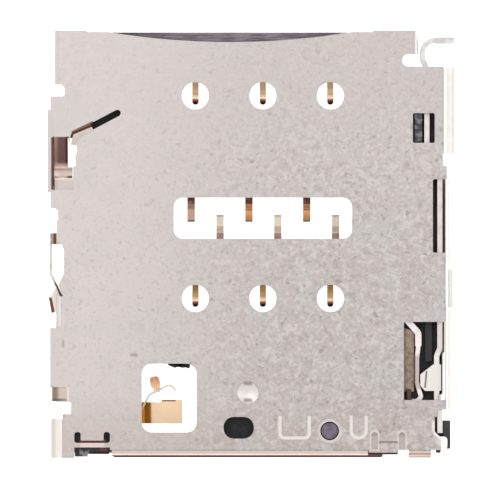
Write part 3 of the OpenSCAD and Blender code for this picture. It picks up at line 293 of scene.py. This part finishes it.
def coverSteel():
    steel = Finish("coverSteel", cover["roughness"], cover["metallic"])
    rolled = steel.mix(steel.ramp(steel.x, -6.5, 1.5), cover["left"], cover["right"])
    rolled = steel.mix(steel.ramp(steel.y, -2.5, 7.5, 0, 0.5), rolled, cover["pale"])
    rolled = steel.mix(steel.ramp(steel.y, -7.6, -5.2, 0.5, 0), rolled, cover["rearTint"])

    # Rolled grain, stronger towards the right
    coarse = steel.times(steel.ramp(steel.x, -6, 2.5, 0.5, 1.15), steel.ramp(steel.y, 2, 6.5, 1, 0.6))
    cloud = steel.noise(0.9, 2, 0.5)
    rolled = steel.mix(steel.times(steel.ramp(cloud, 0.45, 0.6), coarse, 0.5), rolled, cover["cool"])
    worms = steel.noise(3.6, 2, 0.5, 1.1)
    rolled = steel.mix(steel.times(steel.ramp(worms, 0.52, 0.64), coarse, 0.5), rolled, cover["bright"])
    rolled = steel.mix(steel.times(steel.ramp(worms, 0.46, 0.34), coarse, 0.4), rolled, cover["speck"])
    fine = steel.noise(8, 2, 0.6, 0.6)
    rolled = steel.mix(steel.times(steel.ramp(fine, 0.54, 0.7), coarse, 0.4), rolled, cover["bright"])
    rolled = steel.mix(steel.times(steel.ramp(fine, 0.44, 0.3), coarse, 0.4), rolled, cover["speck"])
    pits = steel.noise(4.6, 1, 0.4)
    rolled = steel.mix(steel.times(steel.ramp(pits, 0.68, 0.76), coarse, 0.5), rolled, cover["pit"])

    # Folded edges, toned as painted light and shade: the left fold darker and paler at its rear corner, the
    # right fold toned lighter
    upper = steel.ramp(steel.z, 0.95, 1.15)
    turned = steel.times(steel.ramp(steel.z, 1.3, 1.38, 1, 0), upper)
    cornerFold = steel.mix(steel.ramp(steel.x, -7.5, -7.22), cover["cornerFold"], cover["cornerPale"])
    leftFold = steel.mix(steel.ramp(steel.y, -6.1, -6, 1, 0), cover["leftFold"], cornerFold)
    leftSide = steel.ramp(steel.x, -7.32, -7.22, 1, 0)
    leftTurned = steel.times(leftSide, steel.ramp(steel.z, 1.36, 1.392, 1, 0), upper)
    rolled = steel.mix(leftTurned, rolled, leftFold)
    rolled = steel.mix(steel.times(steel.ramp(steel.x, 7.22, 7.32), turned), rolled, cover["rightFold"])
    # Painted highlight where the side folds start
    begun = steel.between(steel.z, 1.366, 1.397, 0.003)
    corner = steel.times(steel.ramp(steel.x, -7.12, -7.08, 1, 0), steel.ramp(steel.y, -6.1, -6, 1, 0))
    outer = steel.combine("MAXIMUM", steel.ramp(steel.x, 7.08, 7.12), steel.times(corner, 0.6))
    rolled = steel.mix(steel.times(begun, outer), rolled, cover["foldStartHighlight"])
    # Painted highlight on the rear fold and along its starting edge
    rear = steel.times(steel.ramp(steel.y, -7.8, -7.74, 1, 0), steel.ramp(steel.x, -5.4, -5.3), upper)
    hem = steel.between(steel.x, 4.36, 5.5, 0.02)
    rear = steel.combine("SUBTRACT", rear, steel.times(rear, hem))
    rolled = steel.mix(rear, rolled, cover["rearFold"])
    edge = steel.between(steel.z, 1.382, 1.397, 0.003)
    rolled = steel.mix(steel.times(rear, edge), rolled, cover["rearStart"])
    # Painted shade along the rear tab's bend line and on its turned-down end
    tab = steel.times(steel.between(steel.x, 5.9, 6.75, 0.03), rear)
    tabLine = steel.times(tab, steel.between(steel.y, -7.9, -7.85, 0.02))
    rolled = steel.mix(tabLine, rolled, cover["tabLine"])
    tabEnd = steel.times(tab, steel.ramp(steel.y, -7.97, -7.95, 1, 0))
    rolled = steel.mix(tabEnd, rolled, cover["tabEnd"])
    # Painted highlight on the low finger top beside the right wall
    fingerTop = steel.between(steel.z, 1.06, 1.105, 0.015)
    finger = steel.times(steel.patch(7.3, 7.8, -2.45, -0.9, 0.02), fingerTop)
    rolled = steel.mix(finger, rolled, cover["finger"])

    # Coined grooves, reliefs and the bent tongue
    below = steel.ramp(steel.z, 1.372, 1.384, 1, 0)
    coined = steel.times(below, steel.ramp(steel.z, 1.2, 1.3), steel.ramp(steel.y, -7.8, -7.74))
    # Painted highlight in the relief arches
    for x in cover["reliefs"]:
        rolled = steel.mix(steel.times(steel.arch(x, -7.15, 0.19), 0.5), rolled, cover["grooveSheen"])
    # Coined and recessed faces painted lighter as a painted sheen, halved around the pivot ring
    ring = steel.patch(2.35, 3.5, -7.6, -6.4, 0.02)
    shiny = steel.combine("SUBTRACT", 1, leftTurned)
    grooved = steel.times(coined, shiny)
    grooved = steel.combine("SUBTRACT", grooved, steel.times(grooved, ring, 0.5))
    rolled = steel.mix(grooved, rolled, cover["grooveSheen"])
    # Painted shade on the relief's bent walls, darker at its front end, and along its crease
    relief = steel.times(coined, steel.patch(4.45, 5.85, -7.9, -7.0, 0.02))
    rolled = steel.mix(relief, rolled, cover["relief"])
    reliefTop = steel.times(relief, steel.ramp(steel.y, -7.26, -7.16))
    rolled = steel.mix(reliefTop, rolled, cover["reliefTop"])
    crease = steel.times(coined, steel.patch(4.76, 5.5, -7.49, -7.37, 0.01))
    rolled = steel.mix(crease, rolled, cover["crease"])
    # The pad is tinted brown on its left and darker along its rear edge
    pad = steel.times(coined, steel.patch(-7.8, -6.95, -5.95, -5.33, 0.05))
    padTone = steel.mix(steel.ramp(steel.x, -7.38, -7.2), cover["brownTone"], cover["padTone"])
    padEdge = steel.times(steel.ramp(steel.y, -5.84, -5.76, 1, 0), steel.ramp(steel.x, -7.3, -6.95, 1, 0.5))
    rolled = steel.mix(pad, rolled, steel.mix(padEdge, padTone, cover["brownToneDark"]))
    # Painted highlight along the bar under the hook
    bar = steel.patch(-6.45, -5.55, -7.62, -7.44, 0.02)
    rolled = steel.mix(steel.times(bar, 0.8), rolled, cover["bar"])
    low = steel.ramp(steel.z, 1.33, 1.395, 1, 0)
    ledge = steel.times(coined, steel.patch(-7.5, -5.9, 2.0, 4.5, 0.03))
    rolled = steel.mix(ledge, rolled, cover["ledge"])
    # Painted shade on the bent tongue, paler at its left and darkest at its right edge, with a painted
    # highlight over the bend line
    bent = steel.patch(-7.47, -6.88, 2.72, 4.05, 0.02)
    tongueShading = steel.mix(steel.ramp(steel.x, -7.4, -7.25), cover["tongueShadingPale"], cover["tongueShading"])
    tongueShading = steel.mix(steel.ramp(steel.x, -7.06, -6.98), tongueShading, cover["tongueShadingDeep"])
    tongueShading = steel.mix(steel.ramp(steel.y, 2.75, 3.15, 1, 0), tongueShading, cover["bend"])
    rolled = steel.mix(bent, rolled, tongueShading)
    # Painted highlight on the curled end
    curl = steel.times(steel.patch(-7.5, -6.65, 2.45, 2.78, 0.05), low)
    rolled = steel.mix(curl, rolled, cover["curl"])
    # Painted shadow along the slit's outer edge and along its narrow part
    slitShadow = steel.times(steel.patch(-7.55, -7.44, 2.06, 4.03, 0.025), steel.ramp(steel.z, 1.3, 1.34))
    rolled = steel.mix(slitShadow, rolled, cover["slitShadow"])
    aside = steel.slope(cover["slitNormal"])
    slitLength = steel.between(steel.x, -6.78, -5.98, 0.02)
    slitEdge = steel.times(steel.between(aside, 6.66, 6.785, 0.012), slitLength)
    rolled = steel.mix(steel.times(slitEdge, 0.85), rolled, cover["slitShadow"])
    # Painted highlight on the low lip flare
    flare = steel.times(steel.patch(-7.7, -7.15, -2.65, -1.5, 0.01), steel.ramp(steel.z, 1.11, 1.15, 1, 0))
    rolled = steel.mix(flare, rolled, cover["flare"])

    # Painted highlight along the ear's slit and on the bulb
    upright = steel.times(steel.ramp(steel.x, 6.72, 6.82), steel.between(steel.y, -7.06, -6.62, 0.1))
    across = steel.between(steel.slope(cover["sweepNormal"]), -2.16, -2.04, 0.04)
    sweep = steel.times(across, steel.patch(6.82, 7.2, -7.4, -6.95, 0.04))
    bulb = steel.times(steel.ramp(steel.x, 6.9, 7.12, 0, 0.5), steel.between(steel.y, -7.62, -7.28, 0.06))
    upright = steel.times(upright, steel.ramp(steel.x, 6.88, 6.92, 1, 0))
    earHighlight = steel.combine("MAXIMUM", steel.combine("MAXIMUM", upright, sweep), bulb)
    rolled = steel.mix(steel.times(earHighlight, steel.ramp(steel.z, 1.25, 1.3), 0.7), rolled, cover["earHighlight"])

    # Painted shade in small dents, and a painted reflection at the top and bottom of the dome
    for x, y, width, length in cover["marks"]:
        mark = steel.patch(x - width / 2, x + width / 2, y - length / 2, y + length / 2, 0.06)
        rolled = steel.mix(steel.times(mark, 0.8), rolled, cover["dentShadeAndReflection"])

    steel.colour(rolled)
    steel.feed(steel.shader.inputs["Metallic"], steel.times(shiny, cover["metallic"]))
    steel.feed(steel.shader.inputs["Specular IOR Level"], steel.times(shiny, cover["specular"]))
    steel.rough(steel.ramp(worms, 0.3, 0.7, 0.36, 0.5))
    steel.bump(worms, 0.25, 0.01)
    return steel


base = {
    "edge": 0.02,
    "dark": tone(34, 31, 35),
    "pale": tone(54, 50, 56),
    "sill": tone(140, 133, 141),
    "sillDark": tone(96, 89, 98),
    "post": tone(84, 76, 90),
    "postPale": tone(108, 100, 113),
    "channelShade": tone(24, 20, 22),
    "edgeHighlight": tone(255, 250, 244),
    "gap": tone(186, 128, 138),
    "gapShadow": tone(84, 62, 52),
    "bay": tone(168, 118, 94),
    "warm": tone(130, 76, 64),
    "sillEnd": tone(64, 58, 54),
    "brown": tone(46, 32, 28),
    "neck": tone(176, 120, 84),
    "mottledSheen": tone(120, 112, 116),
    "footTone": tone(154, 148, 150),
    "band": tone(112, 70, 72),
    "roughness": 0.5,
    "strips": ("windowFlash", "rearLedge", "hookLedge", "blockFoot", "railEnd"),
}


def basePlastic():
    plastic = Finish("basePlastic", base["roughness"], 0)
    mottle = plastic.noise(3, 3, 0.6)
    moulded = plastic.mix(plastic.ramp(mottle, 0.35, 0.65), base["dark"], base["pale"])
    streak = plastic.noise(5, 3, 0.6)
    drawn = plastic.noise(2.4, 3, 0.6, 0, (0.4, 4, 1))
    # Front sill: painted light, lighter where light falls in from the front and darker towards both ends,
    # streaked by the drawn noise
    sill = plastic.mix(plastic.ramp(drawn, 0.38, 0.62), base["sillDark"], base["sill"])
    outward = plastic.ramp(plastic.times(plastic.x, plastic.x), 10, 24, 0, 0.85)
    sill = plastic.mix(outward, sill, base["sillEnd"])
    moulded = plastic.mix(plastic.ramp(plastic.y, 7.3, 7.6), moulded, sill)
    top = plastic.ramp(plastic.z, 0.34, 0.37)
    # Painted sheen: a streaky mottled grey on the rail top in the upper right window
    window = plastic.times(plastic.patch(6.0, 6.55, 3.8, 4.95, 0.05), plastic.ramp(streak, 0.45, 0.62), top)
    moulded = plastic.mix(window, moulded, base["mottledSheen"])
    post = plastic.times(plastic.patch(2.5, 3.35, -7.45, -6.55, 0.05), plastic.ramp(plastic.z, 1.1, 1.2))
    postTone = plastic.mix(plastic.ramp(streak, 0.4, 0.6), base["post"], base["postPale"])
    moulded = plastic.mix(post, moulded, postTone)
    # Painted shade in the rod channel
    channelShade = plastic.times(plastic.patch(6.1, 7.2, -5.7, -2.85, 0.05), top)
    moulded = plastic.mix(channelShade, moulded, base["channelShade"])
    # Painted highlight: a bright sliver on the floor's edge beside the right rear window
    edge = plastic.times(plastic.patch(7.15, 7.4, -5.62, -2.86, 0.01), top)
    moulded = plastic.mix(edge, moulded, base["edgeHighlight"])
    # Painted shade in the right slot: dark on its inner side, pinkish grey on its outer side
    gapShadow = plastic.times(plastic.patch(6.7, 7.05, -0.4, 2.5, 0.03), top)
    moulded = plastic.mix(gapShadow, moulded, base["gapShadow"])
    gap = plastic.times(plastic.patch(7.15, 7.4, -0.4, 2.5, 0.03), top)
    moulded = plastic.mix(gap, moulded, base["gap"])
    bayFrame = plastic.patch(-7.6, -7.3, 1.8, 4.3, 0.03)
    bay = plastic.combine("MAXIMUM", bayFrame, plastic.patch(-7.3, -6.7, 2.3, 2.8, 0.03))
    moulded = plastic.mix(bay, moulded, base["bay"])
    rear = plastic.times(plastic.ramp(plastic.y, -7.93, -7.9, 1, 0), plastic.ramp(plastic.x, -5.4, -5.3))
    hook = plastic.patch(-6.5, -5.5, -7.5, -7.35, 0.03)
    ear = plastic.patch(6.84, 6.98, -7.2, -6.45, 0.02)
    warm = plastic.combine("MAXIMUM", plastic.combine("MAXIMUM", rear, hook), ear)
    moulded = plastic.mix(plastic.times(warm, top), moulded, base["warm"])
    band = plastic.patch(-6.2, -5.45, -7.8, -7.64, 0.03)
    band = plastic.times(band, plastic.ramp(streak, 0.35, 0.55), top)
    moulded = plastic.mix(band, moulded, base["band"])
    foot = plastic.patch(-6.5, -6.15, -8.0, -7.74, 0.04)
    foot = plastic.times(foot, plastic.ramp(streak, 0.4, 0.55), top)
    moulded = plastic.mix(foot, moulded, base["footTone"])
    slit = plastic.times(plastic.patch(-6.8, -4.9, 3.9, 5.2, 0.2), top)
    moulded = plastic.mix(slit, moulded, base["brown"])
    neck = plastic.times(plastic.patch(-6.95, -6.05, 3.8, 4.75, 0.05), top)
    moulded = plastic.mix(neck, moulded, base["neck"])
    plastic.colour(moulded)
    grain = plastic.noise(22, 2)
    plastic.rough(plastic.ramp(grain, 0.3, 0.7, 0.42, 0.6))
    plastic.bump(grain, 0.3, 0.004)
    return plastic


contacts = {
    "front": ["contact_c1", "contact_c2", "contact_c3"],
    "rear": ["contact_c5", "contact_c6", "contact_c7"],
    "edge": 0.012,
    "tips": {"front": 5.28, "rear": -2.34},
    "roots": {"front": 1.77, "rear": 0.2},
    "plate": {"front": tone(255, 236, 190), "rear": tone(255, 218, 140)},
    "shade": {"front": tone(250, 206, 170), "rear": tone(250, 196, 130)},
    "tan": tone(246, 200, 136),
    "cream": tone(255, 230, 206),
    "creamEnd": {"front": 0.34, "rear": 0.32},
    "tip": tone(64, 30, 12),
    "tipWarm": tone(182, 108, 56),
    "rose": tone(212, 172, 156),
    "amber": tone(232, 164, 114),
    "amberEnd": tone(190, 132, 66),
    "pale": tone(232, 218, 198),
    "line": {"front": tone(130, 74, 30), "rear": tone(196, 140, 84)},
    "root": {"front": tone(100, 54, 24), "rear": tone(160, 128, 118)},
    "tailEnd": {"front": tone(126, 98, 86), "rear": tone(190, 182, 168)},
    "roughness": 0.32,
}


def contactGold(row):
    gold = Finish(row + "ContactGold", contacts["roughness"], 0.3)
    wear = gold.noise(4, 3, 0.6)
    bands = gold.noise(3.4, 1, 0.5, 0, (0.4, 2, 0.4))
    plated = gold.mix(gold.ramp(bands, 0.46, 0.66), contacts["plate"][row], contacts["shade"][row])

    # Spring end: painted shade on the dark tip, a pale band above it as a painted highlight, a darker tan
    # band, and a browner arm in painted shade
    reach = gold.combine("SUBTRACT", gold.y, contacts["tips"][row])
    plated = gold.mix(gold.ramp(reach, 0.56, 0.64, 0, 0.85), plated, contacts["shade"][row])
    plated = gold.mix(gold.between(reach, 0.36, 0.43, 0.02), plated, contacts["tan"])
    plated = gold.mix(gold.between(reach, 0.1, contacts["creamEnd"][row], 0.02), plated, contacts["cream"])
    tipShade = gold.mix(gold.ramp(reach, 0.03, 0.2), contacts["tip"], contacts["tipWarm"])
    tip = gold.times(gold.ramp(reach, 0.19, 0.23, 1, 0), gold.ramp(gold.z, 0.5, 0.55))
    plated = gold.mix(tip, plated, tipShade)

    # Soldering tail in the slot
    into = gold.combine("SUBTRACT", gold.y, contacts["roots"][row])
    if row == "front":
        into = gold.times(into, -1)
    low = gold.ramp(gold.z, 0.27, 0.3, 1, 0)
    right = gold.ramp(gold.x, -1.6, -0.9)
    tail = contacts["pale"]
    if row == "front":
        amber = gold.mix(gold.ramp(into, 0.5, 0.8), contacts["amber"], contacts["amberEnd"])
        tail = gold.mix(right, contacts["rose"], amber)
    plated = gold.mix(gold.times(low, gold.ramp(into, 0.18, 0.24)), plated, tail)
    # Painted shade along the tail's bend
    step = gold.times(low, gold.between(into, 0.44, 0.48, 0.015))
    plated = gold.mix(gold.times(step, right) if row == "front" else step, plated, contacts["line"][row])
    plated = gold.mix(gold.times(low, gold.ramp(into, 0.82, 0.86)), plated, contacts["tailEnd"][row])
    # Painted shade where the tail runs in at its root, varied by wear noise
    root = gold.times(low, gold.between(into, -0.6, 0.25, 0.03), gold.ramp(wear, 0.3, 0.5, 0.75, 1))
    plated = gold.mix(root, plated, contacts["root"][row])
    gold.colour(plated)
    gold.rough(gold.ramp(wear, 0.3, 0.7, 0.26, 0.42))
    return gold


detect = {
    "edge": 0.012,
    "plate": tone(255, 223, 186),
    "brown": tone(255, 164, 58),
    "strip": tone(204, 198, 184),
    "lug": tone(186, 124, 84),
    "lugPale": tone(226, 187, 151),
    "padLine": tone(166, 116, 84),
    "roughness": 0.34,
}


def padGold():
    gold = Finish("padGold", detect["roughness"], 0.3)
    wear = gold.noise(1.6, 2, 0.5)
    plated = gold.mix(gold.ramp(wear, 0.4, 0.8, 0, 0.1), detect["plate"], detect["lug"])
    ramp = gold.ramp(gold.x, -3.84, -3.78, 1, 0)
    plated = gold.mix(gold.patch(-3.42, -2.88, -5.92, -5.8, 0.012), plated, detect["padLine"])
    gold.colour(gold.mix(ramp, plated, detect["brown"]))
    gold.rough(gold.ramp(wear, 0.3, 0.7, 0.3, 0.42))
    return gold


def stripGold():
    gold = Finish("stripGold", detect["roughness"], 0.7)
    wear = gold.noise(4, 3, 0.6)
    plated = gold.mix(gold.ramp(wear, 0.45, 0.75, 0, 0.3), detect["strip"], detect["lug"])
    spots = gold.noise(6, 2, 0.5)
    fading = gold.ramp(gold.y, -5.32, -5.04, 0.75, 0)
    worn = gold.combine("ADD", fading, gold.ramp(spots, 0.44, 0.6, 0, 0.25))
    lug = gold.mix(worn, detect["lug"], detect["lugPale"])
    gold.colour(gold.mix(gold.patch(-3.95, -3.45, -5.5, -4.9, 0.05), plated, lug))
    gold.rough(gold.ramp(wear, 0.3, 0.7, 0.26, 0.42))
    return gold


ejector = {
    "names": ["push_rod", "eject_lever"],
    "edge": 0.02,
    "plate": tone(214, 206, 202),
    "worn": tone(198, 189, 185),
    "flag": tone(228, 222, 217),
    "hook": tone(206, 202, 202),
    "hookDark": tone(190, 187, 186),
    "crease": tone(140, 134, 134),
    "roughness": 0.34,
}


def ejectorSteel():
    steel = Finish("ejectorSteel", ejector["roughness"], 0.7)
    wear = steel.noise(3, 2, 0.5, 0.5)
    drawn = steel.mix(steel.ramp(wear, 0.45, 0.75), ejector["plate"], ejector["worn"])
    hook = steel.mix(steel.ramp(wear, 0.42, 0.6), ejector["hook"], ejector["hookDark"])
    drawn = steel.mix(steel.ramp(steel.y, 6.2, 6.6), drawn, hook)
    # Painted highlight: the flag painted lighter than the rod
    drawn = steel.mix(steel.ramp(steel.y, -4.2, -3.9, 0.8, 0), drawn, ejector["flag"])
    # Painted shade along the flag's fold
    fold = steel.times(steel.ramp(steel.z, 1.125, 1.15, 1, 0), steel.patch(6.4, 6.75, -5.5, -4.6, 0.02))
    steel.colour(steel.mix(fold, drawn, ejector["crease"]))
    steel.rough(steel.ramp(wear, 0.3, 0.7, 0.28, 0.44))
    steel.bump(wear, 0.15, 0.005)
    return steel


latch = {
    "edge": 0.015,
    "plate": tone(240, 230, 230),
    "worn": tone(222, 210, 210),
    "lower": tone(194, 180, 176),
    "lowerLeftShade": tone(88, 74, 68),
    "foot": tone(170, 150, 132),
    "brownTone": tone(140, 120, 104),
    "riser": tone(84, 68, 58),
    "roughness": 0.3,
}


def springSteel():
    steel = Finish("springSteel", latch["roughness"], 0.75)
    wear = steel.noise(3.6, 3, 0.6, 0.8)
    strip = steel.mix(steel.ramp(wear, 0.45, 0.7), latch["plate"], latch["worn"])
    # The foot plate's brown tones are painted shade, mottled by noise
    foot = steel.mix(steel.ramp(wear, 0.35, 0.65), latch["foot"], latch["brownTone"])
    # Painted shade on the lower strip, darker on its left side
    lower = steel.mix(steel.ramp(steel.x, 6.1, 6.19), latch["lowerLeftShade"], latch["lower"])
    strip = steel.mix(steel.between(steel.y, -5.44, -4.18, 0.07), strip, lower)
    # Painted shade on the riser
    strip = steel.mix(steel.patch(5.79, 6.03, -6.2, -5.36, 0.02), strip, latch["riser"])
    steel.colour(steel.mix(steel.ramp(steel.z, 0.53, 0.56, 1, 0), strip, foot))
    steel.rough(steel.ramp(wear, 0.3, 0.7, 0.24, 0.4))
    return steel


side = {
    "edge": 0.01,
    "plate": tone(196, 191, 186),
    "brown": tone(108, 74, 58),
    "foot": tone(232, 210, 184),
    "roughness": 0.3,
}


def springBronze():
    bronze = Finish("springBronze", side["roughness"], 0.8)
    wear = bronze.noise(4, 3, 0.6)
    bow = bronze.ramp(bronze.y, -1.5, -1.35, 1, 0)
    foot = bronze.ramp(bronze.z, 0.27, 0.3, 1, 0)
    strip = bronze.mix(bronze.ramp(wear, 0.45, 0.7, 0, 0.3), side["plate"], side["brown"])
    # Painted shade: the spring brown below y -1.5
    strip = bronze.mix(bow, strip, side["brown"])
    # Painted shade on a strip of the foot
    footShade = bronze.mix(bronze.between(bronze.x, -7.5, -7.38, 0.02), side["foot"], side["brown"])
    bronze.colour(bronze.mix(foot, strip, footShade))
    bronze.rough(bronze.ramp(wear, 0.3, 0.7, 0.24, 0.4))
    return bronze


# Thin forms that the solids lack, each seated on the node that carries it: places in millimetres
strips = {
    "windowLip": {
        "outline": ((7.01, -5.86), (7.3, -5.86), (7.3, -2.86), (7.23, -2.86), (7.23, -4.02), (7.16, -4.12),
                    (7.16, -5.6), (7.01, -5.68)),
        "low": 1.26, "high": 1.393, "edge": 0.02, "slot": "cover_steel",
    },
    "padTip": {
        "outline": ((-7.52, -5.895), (-7.34, -5.895), (-7.34, -5.32), (-7.52, -5.32)),
        "low": 1.26, "high": 1.345, "edge": 0.025, "slot": "cover_steel",
    },
    "lipFlare": {
        "outline": ((-7.37, -1.58), (-7.58, -1.97), (-7.53, -2.02), (-7.43, -2.5), (-7.35, -2.62),
                    (-7.28, -2.6), (-7.19, -2.02)),
        "low": 0.99, "high": 1.11, "edge": 0.015, "slot": "cover_steel",
    },
    "lipCorner": {
        "outline": ((-7.09, -1.12), (-7.285, -1.53), (-7.11, -1.94), (-7.14, -2.05), (-7.03, -2.05),
                    (-7.03, -1.12)),
        "low": 1.27, "high": 1.396, "edge": 0.015, "slot": "cover_steel",
    },
    "earRoot": {
        "outline": ((6.81, -6.51), (6.962, -6.47), (6.962, -6.16), (6.81, -6.16)),
        "low": 1.27, "high": 1.396, "edge": 0.015, "slot": "cover_steel",
    },
    "springEnd": {
        "outline": ((-7.66, -2.0), (-7.55, -2.59), (-7.44, -2.55), (-7.54, -1.97)),
        "low": 0.15, "high": 0.745, "edge": 0.015, "slot": "spring_bronze",
    },
    "rearHem": {
        "outline": ((4.38, -7.825), (5.46, -7.825), (5.46, -7.7), (4.38, -7.7)),
        "low": 1.27, "high": 1.396, "edge": 0.02, "slot": "cover_steel",
    },
    "windowFlash": {
        "outline": ((-3.22, -4.45), (-3.14, -4.56), (-2.92, -4.65), (-2.72, -4.6), (-2.58, -4.59),
                    (-2.44, -4.66), (-2.32, -4.67), (-2.44, -4.58), (-2.6, -4.5), (-2.7, -4.44)),
        "low": 0.02, "high": 0.4, "edge": 0.012, "slot": "base_plastic",
    },
    "rearLedge": {
        "outline": ((-5.22, -8.028), (4.9, -8.028), (4.9, -7.96), (-5.22, -7.96)),
        "low": 0.0, "high": 0.4, "edge": 0.015, "slot": "base_plastic",
    },
    "hookLedge": {
        "outline": ((-6.22, -7.905), (-5.38, -7.905), (-5.38, -7.8), (-6.22, -7.8)),
        "low": 0.0, "high": 0.4, "edge": 0.015, "slot": "base_plastic",
    },
    "blockFoot": {
        "outline": ((6.94, -7.86), (7.12, -7.86), (7.12, -7.64), (6.94, -7.64)),
        "low": 0.0, "high": 0.4, "edge": 0.04, "slot": "base_plastic",
    },
    "railEnd": {
        "outline": ((-7.49, 2.0), (-7.39, 2.0), (-7.39, 2.26), (-7.49, 2.26)),
        "low": 0.02, "high": 0.4, "edge": 0.015, "slot": "base_plastic",
    },
}


def makeStrip(name, finish):
    facts = strips[name]
    shape = bmesh.new()
    corners = [shape.verts.new((x, y, facts["low"])) for x, y in facts["outline"]]
    under = shape.faces.new(corners)
    raised = bmesh.ops.extrude_face_region(shape, geom=[under], use_keep_orig=True)["geom"]
    upper = [part for part in raised if isinstance(part, bmesh.types.BMVert)]
    bmesh.ops.translate(shape, vec=(0, 0, facts["high"] - facts["low"]), verts=upper)
    bmesh.ops.recalc_face_normals(shape, faces=shape.faces[:])
    bmesh.ops.bevel(shape, geom=shape.edges[:], offset=facts["edge"], affect="EDGES",
                    segments=clean["segments"], profile=0.5, material=-1)
    bmesh.ops.scale(shape, vec=(mm, mm, mm), verts=shape.verts[:])
    mesh = bpy.data.meshes.new(name)
    shape.to_mesh(mesh)
    shape.free()
    mesh.materials.append(finish.material)
    piece = bpy.data.objects.new(name, mesh)
    bpy.context.scene.collection.objects.link(piece)
    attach(piece, "socket")


sheet = coverSteel()
dress("cover", sheet, cover["edge"])
for name in cover["strips"]:
    makeStrip(name, sheet)
moulding = basePlastic()
dress("base", moulding, base["edge"])
for name in base["strips"]:
    makeStrip(name, moulding)
for row in ("front", "rear"):
    gold = contactGold(row)
    for name in contacts[row]:
        dress(name, gold, contacts["edge"])
dress("detect_pad", padGold(), detect["edge"])
dress("detect_spring", stripGold(), detect["edge"])
bright = ejectorSteel()
for name in ejector["names"]:
    dress(name, bright, ejector["edge"])
dress("latch_spring", springSteel(), latch["edge"])
bronze = springBronze()
dress("side_spring", bronze, side["edge"])
makeStrip("springEnd", bronze)
print("nodes dressed")


# Metres and watts, apart from the drop and the aim in millimetres and the photo in pixels
stage = {
    "floor": 0.4,
    "drop": 0.004,
    "paper": (0.86, 0.86, 0.86, 1),
    "white": (1, 1, 1, 1),
    "glow": 0.95,
    "world": 0.85,
    "photoScale": 26.6,
    "photoSize": 500,
    "lens": 600,
    "aim": (-0.075, -0.207),
    "lights": {
        "softLeft": ((-0.09, 0.03, 0.07), (0.08, 0.12), 0.012),
        "softRight": ((0.09, 0.0, 0.06), (0.06, 0.12), 0.015),
        "softRear": ((0.0, -0.09, 0.06), (0.12, 0.06), 0.007),
        "softTop": ((-0.02, 0.05, 0.14), (0.14, 0.12), 0.05),
    },
}


def makeFloor():
    mesh = bpy.data.meshes.new("floor")
    shape = bmesh.new()
    bmesh.ops.create_grid(shape, x_segments=1, y_segments=1, size=stage["floor"])
    shape.to_mesh(mesh)
    shape.free()
    floor = bpy.data.objects.new("floor", mesh)
    bpy.context.scene.collection.objects.link(floor)
    floor.location.z = -stage["drop"] * mm
    paper = Finish("paleFloor", 0.9, 0)
    paper.colour(stage["paper"])
    paper.shader.inputs["Emission Color"].default_value = stage["white"]
    paper.shader.inputs["Emission Strength"].default_value = stage["glow"]
    mesh.materials.append(paper.material)


def makeLight(name, place, size, power):
    light = bpy.data.lights.new(name, "AREA")
    light.shape = "RECTANGLE"
    light.size, light.size_y = size
    light.energy = power
    lamp = bpy.data.objects.new(name, light)
    bpy.context.scene.collection.objects.link(lamp)
    lamp.location = place
    lamp.rotation_mode = "QUATERNION"
    lamp.rotation_quaternion = lamp.location.to_track_quat("Z", "Y")


def makeStage():
    makeFloor()
    scene = bpy.context.scene
    world = bpy.data.worlds.new("studio")
    world.use_nodes = True
    glow = world.node_tree.nodes["Background"]
    glow.inputs["Color"].default_value = stage["white"]
    glow.inputs["Strength"].default_value = stage["world"]
    scene.world = world
    scene.view_settings.view_transform = "Standard"
    for name, (place, size, power) in stage["lights"].items():
        makeLight(name, place, size, power)


def makeCamera():
    lens = bpy.data.cameras.new("camera")
    lens.lens = stage["lens"]
    frameWidth = stage["photoSize"] / stage["photoScale"] * mm
    away = frameWidth * lens.lens / lens.sensor_width
    lens.clip_start = away * 0.5
    lens.clip_end = away * 2
    camera = bpy.data.objects.new("camera", lens)
    bpy.context.scene.collection.objects.link(camera)
    aimX, aimY = stage["aim"]
    camera.location = (aimX * mm, aimY * mm, cadHigh.z + away)
    bpy.context.scene.camera = camera


makeStage()
makeCamera()
print("stage ready")
